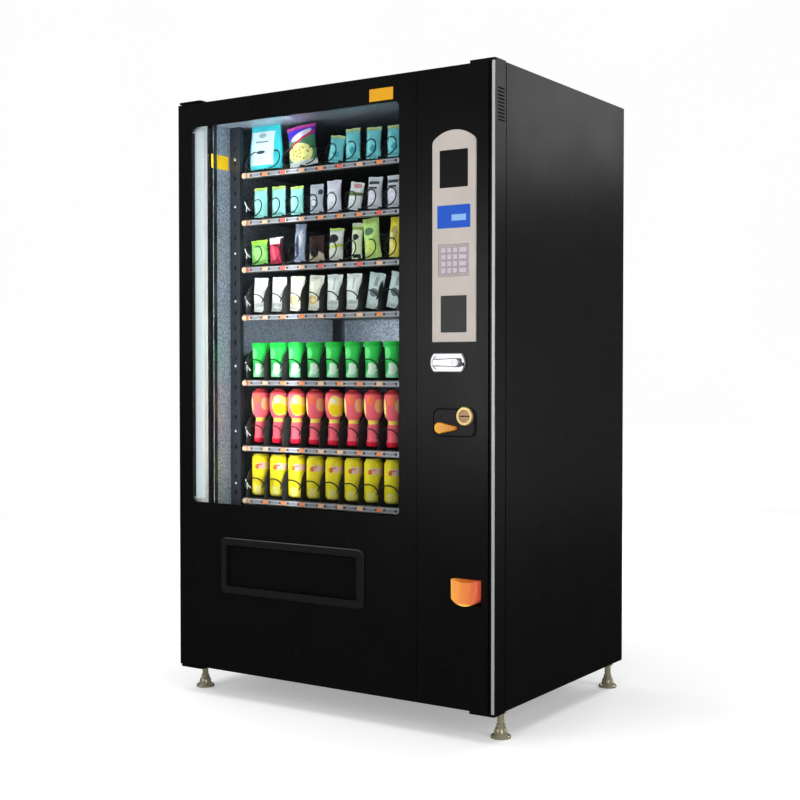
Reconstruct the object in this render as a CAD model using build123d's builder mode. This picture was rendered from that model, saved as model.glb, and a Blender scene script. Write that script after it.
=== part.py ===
from build123d import *
import os

# Glass-fronted snack vending machine on four levelling feet.
#
# A sheet-metal cabinet holds an aluminium-lined chamber with seven trays of wire spirals, each
# turned by its own gearmotor, over a delivery bin and a cooling unit. A hinged door carries the
# window, its lamp, the payment column and the delivery hatch.
#
# Frame: x to the right, y to the back, z up, millimetres. The origin is on the floor, under the
# middle of the machine's overall box.

# ---------------------------------------------------------------- driving sizes
# Overall
width = 1200
depth = 900
height = 1950
nose = 20  # how far the handle and the coin cup stand in front of the door's face
foot_height = 86
hinge_plate = 5
foot_inset_x, foot_inset_front, foot_inset_rear = 30, 26, 49
stem_radius = 10
base_thick = 3
stiffener_inset_x, stiffener_inset_y = 70, 90
rear_flange = 25  # side panels' return behind the back sheet
sheet = 2  # steel sheet of the cabinet and the door
clearance = 0.5  # between a set-in piece and the hole that it sits in

# Door
door_thick = 62
door_gap = 4  # between the door's back and the cabinet
door_end_gap = 5  # above and below the door
stile = 62  # door frame left of the window
mullion = 60  # door frame between the window and the payment column
control_width = 264  # payment column, from the seam to the door's right edge
seam_gap = 1.5
window_foot = 545  # window's lower edge above the door's lower edge
window_head = 78  # window's upper edge below the door's upper edge
window_radius = 20
glass_lip = 12
glass_thick = 6
trim_width = 10
trim_depth = 5
groove_width = 12
cap_length = 85
cap_height = 8

# Door hinge
pin_radius = 6
pin_from_side = 13
pin_from_back = 26
pin_length = 30
pin_play = 0.05

# Chamber
side_wall = 95
right_wall = 91  # from the chamber to the payment column's seam
roof_wall = 65
back_wall = 50
deck_height = 590
post_width = 42
runner_width = 11
runner_height = 34
tray_setback = 150  # trays' front edge behind the door's face
lanes = 8
shelf_shares = [0.0395, 0.176, 0.3457, 0.514, 0.638, 0.759, 0.8806]  # rail tops, lowest first
rail_height = 21
rail_thick = 6
tray_sheet = 1.5
low_divider = 10
tall_divider = 108
tall_radius = 62
low_radius = 5
tall_trays = 4  # the lowest trays have tall dividers

# Spirals and their motors
wire = 4
turns = 9
coil_side_gap = 5.5  # from a spiral's outside to the lane dividers
coil_lift = 4  # spiral above the tray's floor
coil_reach = 14  # spiral's free end in front of the tray
coupler = 6
shaft_radius = 4
shaft_play = 0.05
motor_depth = 45
motor_width = 56
motor_height = 60
duct_depth = 35  # air space behind the motors

# Delivery
hatch_bottom = 345
hatch_height = 182
hatch_width = 567
hatch_left_inset = 185
hatch_border = 24
hatch_radius = 18
hatch_proud = 8
flap_thick = 6
flap_setback = 6
flap_gap = 1.5
flap_pin_radius = 3
flap_pin_play = 0.05
bin_depth = 167
bin_lip = 16

# Cooling unit, on the base behind the bin
unit_inset = 140  # from the left side
unit_length = 760
compressor_radius, compressor_height = 90, 190
condenser_length, condenser_depth, condenser_height = 360, 60, 280
fan_radius = 120
evaporator_length, evaporator_height = 460, 120

# Payment column, placed from the column's centre line and the door's upper edge
column_axis_inset = 132.5  # centre line from the door's right edge
fascia_width = 145
fascia_height = 577
fascia_crown = 30
fascia_radius = 20
fascia_thick = 6
fascia_drop = 213  # fascia's straight shoulder below the door's upper edge
card_window = (95, 108, 27)  # width, height, and its top below the shoulder
screen = (111, 66, 185)
keypad = (103, 92, 297)
blank_plate = (87, 106, 444)
key_size = 14
wide_key = 24
key_pitch = 19.5
key_rows = 4
key_columns = 4
key_gap = 0.5
key_travel = 1.5
key_proud = 2.5
key_flange = 1.5
first_key = -33.5  # first column of keys from the column's centre line
wide_key_step = 25.5  # from the third column to the wide keys

lock_width = 117
lock_height = 55
lock_thick = 8
lock_drop = 32  # below the fascia
lock_shift = -20  # handle's centre from the column's centre line
spindle_radius = 8
spindle_play = 0.05
handle_gap = 1
handle_thick = 9
handle_height = 34
handle_length = 88

coin_width = 145
coin_height = 85
coin_drop = 190  # below the fascia
coin_radius = 22
coin_thick = 3
inlet_radius = 27
inlet_thick = 7
slot_length = 32
slot_height = 3.2
lever_length = 74
lever_bulb = 16
lever_tip = 6
lever_thick = 9
lever_offset = (-46, 27)  # pivot from the column's centre line and the coin plate's lower edge
inlet_offset = (37.5, 23)  # inlet from the centre line, and below the coin plate's upper edge
cup_width = 92
cup_height = 76
cup_bottom = 393
cup_shift = 42.5
scoop_depth, scoop_radius = 7, 110  # dip in the cup's front edge
cup_wall = 3
cup_inset = 30  # cup's depth behind the door's face
chute_gap = 2  # between the chute's lower end and the cup
mechanism_share = 0.62  # coin mechanism's share of the height from the chute's lower end up
mechanism_room = 50  # opening in the inner cover below the mechanism
pocket_share = 0.84  # top of the pocket in its back, as a share of the same stretch

# ---------------------------------------------------------------- places worked out from them
left, right = -width / 2, width / 2
rear = depth / 2
face = -depth / 2 + nose
door_back = face + door_thick
front = door_back + door_gap  # cabinet's front plane
bottom = foot_height
top = height - hinge_plate
door_low, door_high = bottom + door_end_gap - 1, top - door_end_gap
seam = right - control_width

window_left, window_right = left + stile, seam - mullion
window_low, window_high = door_low + window_foot, door_high - window_head
glass_back = face + sheet + glass_thick

hinge_x, hinge_y = left + pin_from_side, door_back - pin_from_back

foot_places = [
    (x, y)
    for x in (left + foot_inset_x, right - foot_inset_x)
    for y in (front + foot_inset_front, rear - foot_inset_rear)
]

chamber_left, chamber_right = left + side_wall, seam - right_wall
chamber_high, chamber_back = top - roof_wall, rear - back_wall
flange_right = 32

tray_left = chamber_left + post_width + runner_width + 2
tray_right = chamber_right - post_width - runner_width - 12
tray_front = face + tray_setback
tray_back = chamber_back - sheet - duct_depth - motor_depth
side_margin = 9
lane_left = tray_left + side_margin
lane_pitch = (tray_right - tray_left - 2 * side_margin) / lanes
shelves = [deck_height + share * (chamber_high - deck_height) for share in shelf_shares]
coil_radius = lane_pitch / 2 - coil_side_gap - wire / 2
coil_front = tray_front - coil_reach
coil_back = tray_back - tray_sheet - 1 - coupler
coil_length = coil_back - coil_front
coil_rise = coil_lift + wire / 2 + coil_radius  # axis above the tray's floor

hatch_left = left + hatch_left_inset
hatch_right = hatch_left + hatch_width
hatch_top = hatch_bottom + hatch_height
mouth_left, mouth_right = hatch_left + hatch_border - 1, hatch_right - hatch_border - 3
mouth_low, mouth_high = hatch_bottom + hatch_border + 1, hatch_top - hatch_border
sleeve = 6
bin_back = front + bin_depth

column = right - column_axis_inset
shoulder = door_high - fascia_drop
fascia_low = shoulder - fascia_height
fascia_face = face - fascia_thick
lock_x, lock_z = column + lock_shift, fascia_low - lock_drop - lock_height / 2
lock_face = face - lock_thick
coin_high = fascia_low - coin_drop
coin_low = coin_high - coin_height
cup_x = column + cup_shift
chute_low = cup_bottom + cup_height + chute_gap
mechanism_low = coin_low - mechanism_share * (coin_low - chute_low)


# ---------------------------------------------------------------- helpers
def block(x, y, z, mode=Mode.ADD):
    """A box between two x, two y and two z values, added to the part being built."""
    with Locations(((x[0] + x[1]) / 2, (y[0] + y[1]) / 2, (z[0] + z[1]) / 2)):
        Box(x[1] - x[0], y[1] - y[0], z[1] - z[0], mode=mode)


def write(name, *solids):
    """Write one node: a single piece, or a group of separate pieces that share a name."""
    node = solids[0] if len(solids) == 1 else Compound(children=list(solids))
    node.label = name
    export_step(node, f"parts/{name}.step")


def lane_centre(lane):
    """Middle of a lane, counted from the left."""
    return lane_left + (lane + 0.5) * lane_pitch


def upright(y, x=0, z=0):
    """Plane across the machine at depth y, facing the front: sketch x is x, sketch y is z."""
    return Plane(origin=(x, y, z), x_dir=(1, 0, 0), z_dir=(0, -1, 0))


os.makedirs("parts", exist_ok=True)

# ================================================================ cabinet
# ---- cabinet shell: two side panels, roof, back and the welded front frame
with BuildPart() as left_panel:
    block((left, left + sheet), (front, rear - sheet), (bottom, top))
    block((left, chamber_left - sheet), (front, front + sheet), (bottom, top))
    block((left, left + rear_flange), (rear - 2 * sheet, rear - sheet), (bottom, top))

with BuildPart() as right_panel:
    block((right - sheet, right), (front, rear - sheet), (bottom, top))
    block((right - flange_right, right), (front, front + sheet), (bottom, top))
    block((right - rear_flange, right), (rear - 2 * sheet, rear - sheet), (bottom, top))

with BuildPart() as roof:
    block((left + sheet, right - sheet), (front + sheet, rear - 2 * sheet), (top - sheet, top))

# Back sheet with a field of vent slots over the cooling unit and two anti-tip holes
vent_rows, vent_columns = 9, 5
anti_tip_spacing, anti_tip_radius = 800, 5.5
anti_tip_z = top - 60
inlet_x, inlet_z = right - 90, bottom + 70
inlet_hole = (27, 19)
with BuildPart() as back_panel:
    block((left, right), (rear - sheet, rear), (bottom, top))
    with BuildSketch(upright(rear)):
        with Locations((0, bottom + 200)):
            with GridLocations(180, 22, vent_columns, vent_rows):
                SlotOverall(140, 8)
        with Locations((0, anti_tip_z)):
            with GridLocations(anti_tip_spacing, 0, 2, 1):
                Circle(anti_tip_radius)
        with Locations((inlet_x, inlet_z)):
            Rectangle(inlet_hole[0] + 2, inlet_hole[1] + 2)
    extrude(amount=sheet * 2, both=True, mode=Mode.SUBTRACT)

frame_depth = 40
frame_left, frame_right = chamber_left - sheet, right - flange_right
post_right = seam - 30
with BuildPart() as header:
    block(
        (frame_left, frame_right),
        (front, front + frame_depth),
        (chamber_high + sheet, top - sheet),
    )
with BuildPart() as sill:
    block(
        (frame_left, right - foot_inset_x - 2 * stem_radius),
        (front, front + frame_depth),
        (bottom + base_thick, bottom + base_thick + frame_depth),
    )
with BuildPart() as centre_post:
    block(
        (chamber_right + sheet, post_right),
        (front, front + frame_depth),
        (bottom + base_thick + frame_depth, chamber_high + sheet),
    )
for tube in (header, sill, centre_post):  # each tube is hollow along its length
    offset_faces = tube.part.faces().sort_by(Axis.X if tube is not centre_post else Axis.Z)
    tube.part = offset(tube.part, amount=-sheet, openings=[offset_faces[0], offset_faces[-1]])

write(
    "cabinet_shell",
    left_panel.part,
    right_panel.part,
    roof.part,
    back_panel.part,
    header.part,
    sill.part,
    centre_post.part,
)

# ---- base pan, with stiffening upstands and the holes for the feet's threads
with BuildPart() as base_pan:
    block(
        (left + sheet, right - sheet),
        (front + sheet, rear - 2 * sheet),
        (bottom, bottom + base_thick),
    )
    for y in (front + stiffener_inset_y, rear - stiffener_inset_y):
        block(
            (left + stiffener_inset_x, right - stiffener_inset_x),
            (y - base_thick / 2, y + base_thick / 2),
            (bottom + base_thick, bottom + 40),
        )
    with Locations(*[(x, y, bottom) for x, y in foot_places]):
        Cylinder(stem_radius + clearance, 20, mode=Mode.SUBTRACT)
write("base_pan", base_pan.part)

# ---- levelling feet: disc, bell and threaded stem
with BuildPart() as foot:
    with BuildSketch(Plane.XZ):
        with BuildLine():
            Polyline((0, 0), (30, 0), (30, 6), (27, 9), (20, 11))
            RadiusArc((20, 11), (13, 34), -40)
            Polyline((13, 34), (13, 40), (stem_radius, 42), (stem_radius, bottom - 12))
            Polyline(
                (stem_radius, bottom - 12),
                (17, bottom - 12),
                (17, bottom),
                (stem_radius, bottom),
                (stem_radius, bottom + 16),
                (0, bottom + 16),
                (0, 0),
            )
        make_face()
    revolve(axis=Axis.Z)
write("feet", *[foot.part.moved(Location((x, y, 0))) for x, y in foot_places])

# ---- chamber liner: thin embossed aluminium sheets, and the deck that trays stand over
with BuildPart() as liner_left:
    block(
        (chamber_left - sheet, chamber_left),
        (front + sheet, chamber_back),
        (deck_height, chamber_high + sheet),
    )
with BuildPart() as liner_right:
    block(
        (chamber_right, chamber_right + sheet),
        (front, chamber_back),
        (deck_height, chamber_high + sheet),
    )
with BuildPart() as liner_top:
    block(
        (chamber_left, chamber_right),
        (front, chamber_back),
        (chamber_high, chamber_high + sheet),
    )
with BuildPart() as liner_back:
    block(
        (chamber_left, chamber_right),
        (chamber_back - sheet, chamber_back),
        (deck_height, chamber_high),
    )
with BuildPart() as deck:
    block(
        (chamber_left, chamber_right),
        (bin_back, chamber_back - sheet),
        (deck_height - sheet, deck_height),
    )
write(
    "chamber_liner",
    liner_left.part,
    liner_right.part,
    liner_top.part,
    liner_back.part,
    deck.part,
)

# ---- delivery bin below the drop shaft, open at the top and towards the hatch
bin_left, bin_right = mouth_left - 13, mouth_right + 13
bin_low = mouth_low - bin_lip
with BuildPart() as bin_floor:
    block((bin_left, bin_right), (front, bin_back), (bin_low, bin_low + sheet))
with BuildPart() as bin_rear:
    block(
        (bin_left, bin_right),
        (bin_back - sheet, bin_back),
        (bin_low + sheet, deck_height - sheet),
    )
with BuildPart() as bin_side_left:
    block(
        (bin_left, bin_left + sheet),
        (front, bin_back - sheet),
        (bin_low + sheet, deck_height - sheet),
    )
with BuildPart() as bin_side_right:
    block(
        (bin_right - sheet, bin_right),
        (front, bin_back - sheet),
        (bin_low + sheet, deck_height - sheet),
    )
with BuildPart() as bin_threshold:
    block(
        (bin_left + sheet, bin_right - sheet),
        (front, front + sheet),
        (bin_low + sheet, bin_low + bin_lip),
    )
write(
    "delivery_bin",
    bin_floor.part,
    bin_rear.part,
    bin_side_left.part,
    bin_side_right.part,
    bin_threshold.part,
)

# ---- tray runners: four slotted posts, and a pair of runners for each tray
post_depth = 18
post_inset = 2
posts = []
for post_x in (chamber_left + post_inset, chamber_right - post_inset - post_width + 1):
    for post_y in (tray_front, tray_back - post_depth):
        with BuildPart() as post:
            block(
                (post_x, post_x + post_width - 1),
                (post_y, post_y + post_depth),
                (deck_height, chamber_high),
            )
            with BuildSketch(upright(post_y)):
                with Locations((post_x + post_width / 2, (deck_height + chamber_high) / 2)):
                    with GridLocations(0, 50, 1, int((chamber_high - deck_height) / 50) - 1):
                        Rectangle(6, 14)
            extrude(amount=-post_depth, mode=Mode.SUBTRACT)
        posts.append(post.part)

runners = []
for shelf in shelves:
    for runner_x in (tray_left - runner_width - clearance, tray_right + clearance):
        with BuildPart() as runner:
            block(
                (runner_x, runner_x + runner_width),
                (tray_front + post_depth, tray_back - post_depth),
                (shelf, shelf + runner_height),
            )
            block(
                (runner_x + 3, runner_x + runner_width - 3),
                (tray_front + post_depth, tray_back - post_depth),
                (shelf + 3, shelf + runner_height - 3),
                mode=Mode.SUBTRACT,
            )
        runners.append(runner.part)
write("tray_runners", *posts, *runners)

# ---- trays: folded pan, price rail and lane dividers
rail_lean = 2
for number, shelf in enumerate(reversed(shelves), start=1):
    tall = number > len(shelves) - tall_trays
    rise = tall_divider if tall else low_divider
    corner = tall_radius if tall else low_radius
    with BuildPart() as pan:
        block(
            (tray_left, tray_right),
            (tray_front + rail_thick, tray_back),
            (shelf - tray_sheet, shelf),
        )
    with BuildPart() as back_plate:
        block(
            (tray_left, tray_right),
            (tray_back - tray_sheet, tray_back),
            (shelf, shelf + 2 * coil_rise),
        )
        with BuildSketch(upright(tray_back)):
            with Locations(*[(lane_centre(lane), shelf + coil_rise) for lane in range(lanes)]):
                Circle(shaft_radius + 3)
        extrude(amount=tray_sheet * 2, both=True, mode=Mode.SUBTRACT)
    with BuildPart() as rail:
        with BuildSketch(Plane.YZ.offset(tray_left)):
            with BuildLine():
                Polyline(
                    (tray_front + rail_lean, shelf),
                    (tray_front + rail_thick, shelf),
                    (tray_front + rail_thick, shelf - rail_height),
                    (tray_front, shelf - rail_height),
                    close=True,
                )
            make_face()
        extrude(amount=tray_right - tray_left)
    dividers = []
    for boundary in range(lanes + 1):
        divider_x = lane_left + boundary * lane_pitch
        with BuildPart() as divider:
            block(
                (divider_x - tray_sheet / 2, divider_x + tray_sheet / 2),
                (tray_front + rail_thick, tray_back - tray_sheet),
                (shelf, shelf + rise),
            )
            front_corner = divider.edges().filter_by(Axis.X).group_by(Axis.Z)[-1].sort_by(Axis.Y)
            fillet(front_corner[0], corner)
        dividers.append(divider.part)
    write(f"tray_{number}", pan.part, back_plate.part, rail.part, *dividers)

# ---- spirals: wire wound one way or the other, and the plastic coupler that the motor turns
wound = {}
for hand in (False, True):
    with BuildPart() as spiral:
        with BuildLine() as path:
            Helix(coil_length / turns, coil_length - wire / 2 - 0.2, coil_radius, lefthand=hand)
        with BuildSketch(Plane(origin=path.line @ 0, z_dir=path.line % 0)):
            Circle(wire / 2)
        sweep(path=path.line)
    wound[hand] = spiral.part

with BuildPart(Plane.XY.offset(coil_length)) as coupler_disc:
    with BuildSketch(Plane.XY.offset(coil_length)):
        Circle(coil_radius + wire / 2)
        Circle(shaft_radius + shaft_play, mode=Mode.SUBTRACT)
        with PolarLocations(coil_radius / 2 + 2, 3, start_angle=30):
            Circle(coil_radius / 4, mode=Mode.SUBTRACT)
    extrude(amount=coupler)


def coil_at(lane, shelf):
    """Frame of a spiral: it starts at its lowest point and runs to the back along its lane."""
    origin = (lane_centre(lane), coil_front, shelf + coil_rise)
    return Plane(origin=origin, x_dir=(0, 0, -1), z_dir=(0, 1, 0)).location


top_shelf = shelves[-1]
for lane in range(lanes):
    left_hand = lane not in (0, 2)  # lanes 1-2 and 3-4 push one wide pack between two spirals
    place = coil_at(lane, top_shelf)
    write(f"coil_{lane + 1}", wound[left_hand].moved(place), coupler_disc.part.moved(place))

# Couplers of the lower trays' spirals
lower = [
    coupler_disc.part.moved(coil_at(lane, shelf)) for shelf in shelves[:-1] for lane in range(lanes)
]
write("lower_couplers", *lower)

# ---- gearmotors behind the trays
with BuildPart() as motor:
    block(
        (-motor_width / 2, motor_width / 2),
        (tray_back, tray_back + motor_depth),
        (-motor_height / 2, motor_height / 2),
    )
    fillet(motor.edges().filter_by(Axis.Y), 5)
    with BuildSketch(upright(tray_back)):
        Circle(shaft_radius)
    extrude(amount=tray_sheet + 1 + coupler)
motors = [
    motor.part.moved(Location((lane_centre(lane), 0, shelf + coil_rise)))
    for shelf in shelves
    for lane in range(lanes)
]
write("coil_motors", *motors)

# ---- cooling unit on the base: tray, compressor, condenser with its fan, evaporator
unit_left, unit_front, unit_rear = left + unit_inset, bin_back + 40, rear - 60
unit_low = bottom + 41
unit_floor = unit_low + base_thick
with BuildPart() as unit_tray:
    block((unit_left, unit_left + unit_length), (unit_front, unit_rear), (unit_low, unit_floor))
with BuildPart() as compressor:
    compressor_x = unit_left + unit_length - compressor_radius - 50
    with Locations((compressor_x, (unit_front + unit_rear) / 2, unit_floor)):
        Cylinder(
            compressor_radius, compressor_height, align=(Align.CENTER, Align.CENTER, Align.MIN)
        )
    fillet(compressor.edges().sort_by(Axis.Z)[-1], 40)
condenser_back = unit_front + 20 + condenser_depth
condenser_x = (unit_left + 40, unit_left + 40 + condenser_length)
with BuildPart() as condenser:
    block(
        condenser_x,
        (unit_front + 20, condenser_back),
        (unit_floor, unit_floor + condenser_height),
    )
with BuildPart() as condenser_fan:
    with BuildSketch(upright(condenser_back)):
        with Locations((sum(condenser_x) / 2, unit_floor + condenser_height / 2)):
            Circle(fan_radius)
            Circle(fan_radius - 8, mode=Mode.SUBTRACT)
            Rectangle(2 * fan_radius - 4, 10)
            Rectangle(10, 2 * fan_radius - 4)
    extrude(amount=-50)
evaporator_low = unit_floor + condenser_height + 20
with BuildPart() as evaporator:
    block(
        (unit_left + 60, unit_left + 60 + evaporator_length),
        (unit_front + 160, unit_rear - 30),
        (evaporator_low, evaporator_low + evaporator_height),
    )
with BuildPart() as evaporator_legs:
    for leg_x in (unit_left + 80, unit_left + 20 + evaporator_length):
        block(
            (leg_x, leg_x + 20),
            (unit_rear - 60, unit_rear - 40),
            (unit_floor, evaporator_low),
        )
write(
    "cooling_unit",
    unit_tray.part,
    compressor.part,
    condenser.part,
    condenser_fan.part,
    evaporator.part,
    evaporator_legs.part,
)

# ---- appliance inlet on the back panel
with BuildPart() as power_inlet:
    block(
        (inlet_x - 25, inlet_x + 25),
        (rear - sheet - 30, rear - sheet),
        (inlet_z - 15, inlet_z + 15),
    )
    with BuildSketch(upright(rear - sheet)):
        with Locations((inlet_x, inlet_z)):
            Rectangle(*inlet_hole)
    extrude(amount=22, mode=Mode.SUBTRACT)
    for pin_x, pin_z in ((-7, -2), (7, -2), (0, 2)):
        block(
            (inlet_x + pin_x - 1, inlet_x + pin_x + 1),
            (rear - sheet - 22, rear - sheet - 6),
            (inlet_z + pin_z - 2, inlet_z + pin_z + 2),
        )
write("power_inlet", power_inlet.part)

# ---- door seal around the chamber's opening
seal_width = 12
seal_proud = door_gap - 0.6
seal_left, seal_right = left + 30, seam - 36
seal_low, seal_high = deck_height - 30, top - 20
with BuildPart() as door_gasket:
    with BuildSketch(upright(front)):
        with Locations(((seal_left + seal_right) / 2, (seal_low + seal_high) / 2)):
            RectangleRounded(seal_right - seal_left, seal_high - seal_low, 14)
            RectangleRounded(
                seal_right - seal_left - 2 * seal_width,
                seal_high - seal_low - 2 * seal_width,
                6,
                mode=Mode.SUBTRACT,
            )
    extrude(amount=seal_proud)
write("door_gasket", door_gasket.part)

# ---- hinge brackets: a plate over the roof and one under the base, each with a pin
plate_length, plate_back = 95, front + 110
with BuildPart() as upper_bracket:
    block((left, left + plate_length), (face + 4, plate_back), (top, top + hinge_plate))
    fillet(upper_bracket.edges().filter_by(Axis.Z).group_by(Axis.Y)[0], 8)
    with Locations((hinge_x, hinge_y, top)):
        Cylinder(pin_radius, pin_length, align=(Align.CENTER, Align.CENTER, Align.MAX))
with BuildPart() as lower_bracket:
    block(
        (left, left + plate_length),
        (face + 4, front + foot_inset_front - 22),
        (bottom - hinge_plate, bottom),
    )
    fillet(lower_bracket.edges().filter_by(Axis.Z).group_by(Axis.Y)[0], 8)
    with Locations((hinge_x, hinge_y, bottom)):
        Cylinder(pin_radius, pin_length, align=(Align.CENTER, Align.CENTER, Align.MIN))
write("hinge_brackets", upper_bracket.part, lower_bracket.part)

# ================================================================ door
boss = 26  # block around each hinge pin, inside the door's hollow frame


def hinge_boss(low, high):
    """A block in the door frame's corner with the running bore for a hinge pin."""
    block(
        (left + sheet, left + sheet + boss),
        (hinge_y - boss / 2, hinge_y + boss / 2),
        (low, high),
    )
    with Locations((hinge_x, hinge_y, (low + high) / 2)):
        Cylinder(pin_radius + pin_play, high - low + 4 * sheet, mode=Mode.SUBTRACT)


# ---- door skin: a folded pan with the window and the hatch, and its inner cover
reveal_left, reveal_right = window_left - glass_lip - 1, window_right + glass_lip + 1
reveal_low, reveal_high = window_low - glass_lip - 1, window_high + glass_lip + 1
hole_left, hole_right = mouth_left - sleeve - clearance, mouth_right + sleeve + clearance
hole_low, hole_high = mouth_low - sleeve - clearance, mouth_high + sleeve + clearance
window_middle = ((window_left + window_right) / 2, (window_low + window_high) / 2)
inner_cover = 1.5
with BuildPart() as door_pan:
    block((left, seam), (face, door_back), (door_low, door_high))
    block(
        (left + sheet, seam - sheet),
        (face + sheet, door_back),
        (door_low + sheet, door_high - sheet),
        mode=Mode.SUBTRACT,
    )
    block(
        (reveal_left - sheet, reveal_right + sheet),
        (face + sheet, door_back - inner_cover),
        (reveal_low - sheet, reveal_high + sheet),
    )
    block(
        (reveal_left, reveal_right),
        (face + sheet, door_back),
        (reveal_low, reveal_high),
        mode=Mode.SUBTRACT,
    )
    with BuildSketch(upright(face)):
        with Locations(window_middle):
            RectangleRounded(window_right - window_left, window_high - window_low, window_radius)
    extrude(amount=-sheet, mode=Mode.SUBTRACT)
    block((hole_left, hole_right), (face, face + sheet), (hole_low, hole_high), mode=Mode.SUBTRACT)
    hinge_boss(door_low + sheet, door_low + pin_length)
    hinge_boss(door_high - pin_length, door_high - sheet)
    fillet(door_pan.edges().filter_by(Axis.Z).group_by(Axis.Y)[0].sort_by(Axis.X)[0], 4)
with BuildPart() as door_cover:
    block(
        (left + sheet, seam - sheet),
        (door_back - inner_cover, door_back),
        (door_low + sheet, door_high - sheet),
    )
    block(
        (reveal_left, reveal_right),
        (door_back - inner_cover, door_back),
        (reveal_low, reveal_high),
        mode=Mode.SUBTRACT,
    )
    block(
        (hole_left, hole_right),
        (door_back - inner_cover, door_back),
        (hole_low, hole_high),
        mode=Mode.SUBTRACT,
    )
write("door_skin", door_pan.part, door_cover.part)

# ---- window glass, behind the skin's lip
with BuildPart() as window_glass:
    block(
        (reveal_left + clearance, reveal_right - clearance),
        (face + sheet, glass_back),
        (reveal_low + clearance, reveal_high - clearance),
    )
write("window_glass", window_glass.part)

# ---- lamp: a long diffuser tube on a backing channel, left of the window
lamp_left, lamp_width = reveal_left + 2, 40
lamp_low, lamp_high = reveal_low + 4, reveal_high - 4
with BuildPart() as lamp_channel:
    block(
        (lamp_left, lamp_left + lamp_width),
        (glass_back + 22, glass_back + 34),
        (lamp_low, lamp_high),
    )
with BuildPart() as lamp_tube:
    with BuildSketch(Plane.XY.offset(lamp_low + 22)):
        with Locations((lamp_left + lamp_width / 2, glass_back + 22)):
            Ellipse(lamp_width / 2 - 2, 17)
            with Locations((0, lamp_width / 2)):
                Rectangle(lamp_width, lamp_width, mode=Mode.SUBTRACT)
    extrude(amount=lamp_high - lamp_low - 44)
lamp_ends = []
for end_low in (lamp_low, lamp_high - 22):
    with BuildPart() as lamp_end:
        block(
            (lamp_left, lamp_left + lamp_width),
            (glass_back + 3, glass_back + 22),
            (end_low, end_low + 22),
        )
    lamp_ends.append(lamp_end.part)
with BuildPart() as lamp_bracket:
    for bracket_z in (lamp_low + 60, lamp_high - 60):
        block(
            (reveal_left, lamp_left),
            (glass_back + 24, glass_back + 32),
            (bracket_z - 15, bracket_z + 15),
        )
write("lamp", lamp_channel.part, lamp_tube.part, *lamp_ends, lamp_bracket.part)

# ---- control skin: the payment column's own pan, with its openings and its inner cover
control_left = seam + seam_gap
bay_half = fascia_width / 2 - 14
openings = [
    (column - bay_half, column + bay_half, fascia_low + 14, shoulder - 20),
    (lock_x - lock_width / 2 + 12, lock_x + lock_width / 2 - 12, lock_z - 20, lock_z + 20),
    (column - coin_width / 2 + 12, column + coin_width / 2 - 12, coin_low + 12, coin_high - 12),
    (cup_x - cup_width / 2, cup_x + cup_width / 2, cup_bottom, cup_bottom + cup_height),
]
louvre_rows, louvre_pitch, louvre_top = 10, 10, 72
with BuildPart() as control_pan:
    block((control_left, right), (face, door_back), (door_low, door_high))
    block(
        (control_left + sheet, right - sheet),
        (face + sheet, door_back),
        (door_low + sheet, door_high - sheet),
        mode=Mode.SUBTRACT,
    )
    groove_right = right - trim_width
    block(
        (groove_right - groove_width - sheet, right - sheet),
        (face + sheet, face + trim_depth + sheet),
        (door_low + sheet, door_high - sheet),
    )
    block(
        (groove_right - groove_width, groove_right),
        (face, face + 6),
        (door_low, door_high),
        mode=Mode.SUBTRACT,
    )
    block(
        (groove_right, right),
        (face, face + trim_depth),
        (door_low, door_high),
        mode=Mode.SUBTRACT,
    )
    for x0, x1, z0, z1 in openings:
        block((x0, x1), (face, face + sheet), (z0, z1), mode=Mode.SUBTRACT)
    for row in range(louvre_rows):
        louvre_z = door_high - louvre_top - row * louvre_pitch
        block(
            (right - sheet, right),
            (face + 16, door_back - 8),
            (louvre_z - 4, louvre_z),
            mode=Mode.SUBTRACT,
        )
mech_low, mech_back = mechanism_low - mechanism_room, front + 34
with BuildPart() as control_cover:
    block(
        (control_left + sheet, right - sheet),
        (door_back - inner_cover, door_back),
        (door_low + sheet, door_high - sheet),
    )
    block(
        (column - coin_width / 2 - 1, column + coin_width / 2 + 1),
        (door_back - inner_cover, door_back),
        (mech_low - 1, coin_high + 1),
        mode=Mode.SUBTRACT,
    )
write("control_skin", control_pan.part, control_cover.part)

# ---- silver edge trim and the black corner caps
with BuildPart() as edge_trim:
    block((right - trim_width, right), (face, face + trim_depth), (door_low, door_high))
    fillet(edge_trim.edges().filter_by(Axis.Z).group_by(Axis.Y)[0].sort_by(Axis.X)[-1], 3)
caps = []
for cap_low in (door_high, door_low - cap_height):
    with BuildPart() as cap:
        block((right - cap_length, right), (face, door_back), (cap_low, cap_low + cap_height))
        fillet(cap.edges().filter_by(Axis.Z).group_by(Axis.Y)[0], 6)
    caps.append(cap.part)
write("edge_trims", edge_trim.part, *caps)

# ---- fascia: silver plate with an arched top and four openings
insets = [card_window, screen, keypad, blank_plate]
with BuildPart() as fascia:
    with BuildSketch(upright(face)):
        with BuildLine():
            foot_left = (column - fascia_width / 2, fascia_low)
            foot_right = (column + fascia_width / 2, fascia_low)
            Polyline((foot_left[0], shoulder), foot_left, foot_right, (foot_right[0], shoulder))
            ThreePointArc(
                (foot_right[0], shoulder),
                (column, shoulder + fascia_crown),
                (foot_left[0], shoulder),
            )
        make_face()
        for inset_width, inset_height, drop in insets:
            with Locations((column, shoulder - drop - inset_height / 2)):
                RectangleRounded(inset_width, inset_height, 2, mode=Mode.SUBTRACT)
    extrude(amount=fascia_thick)
    shoulders = fascia.edges().filter_by(Axis.Y).group_by(Axis.Z)[-1]
    fillet(shoulders, fascia_radius)
    chamfer(fascia.faces().sort_by(Axis.Y)[0].outer_wire().edges(), 1.2)
write("fascia", fascia.part)

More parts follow.
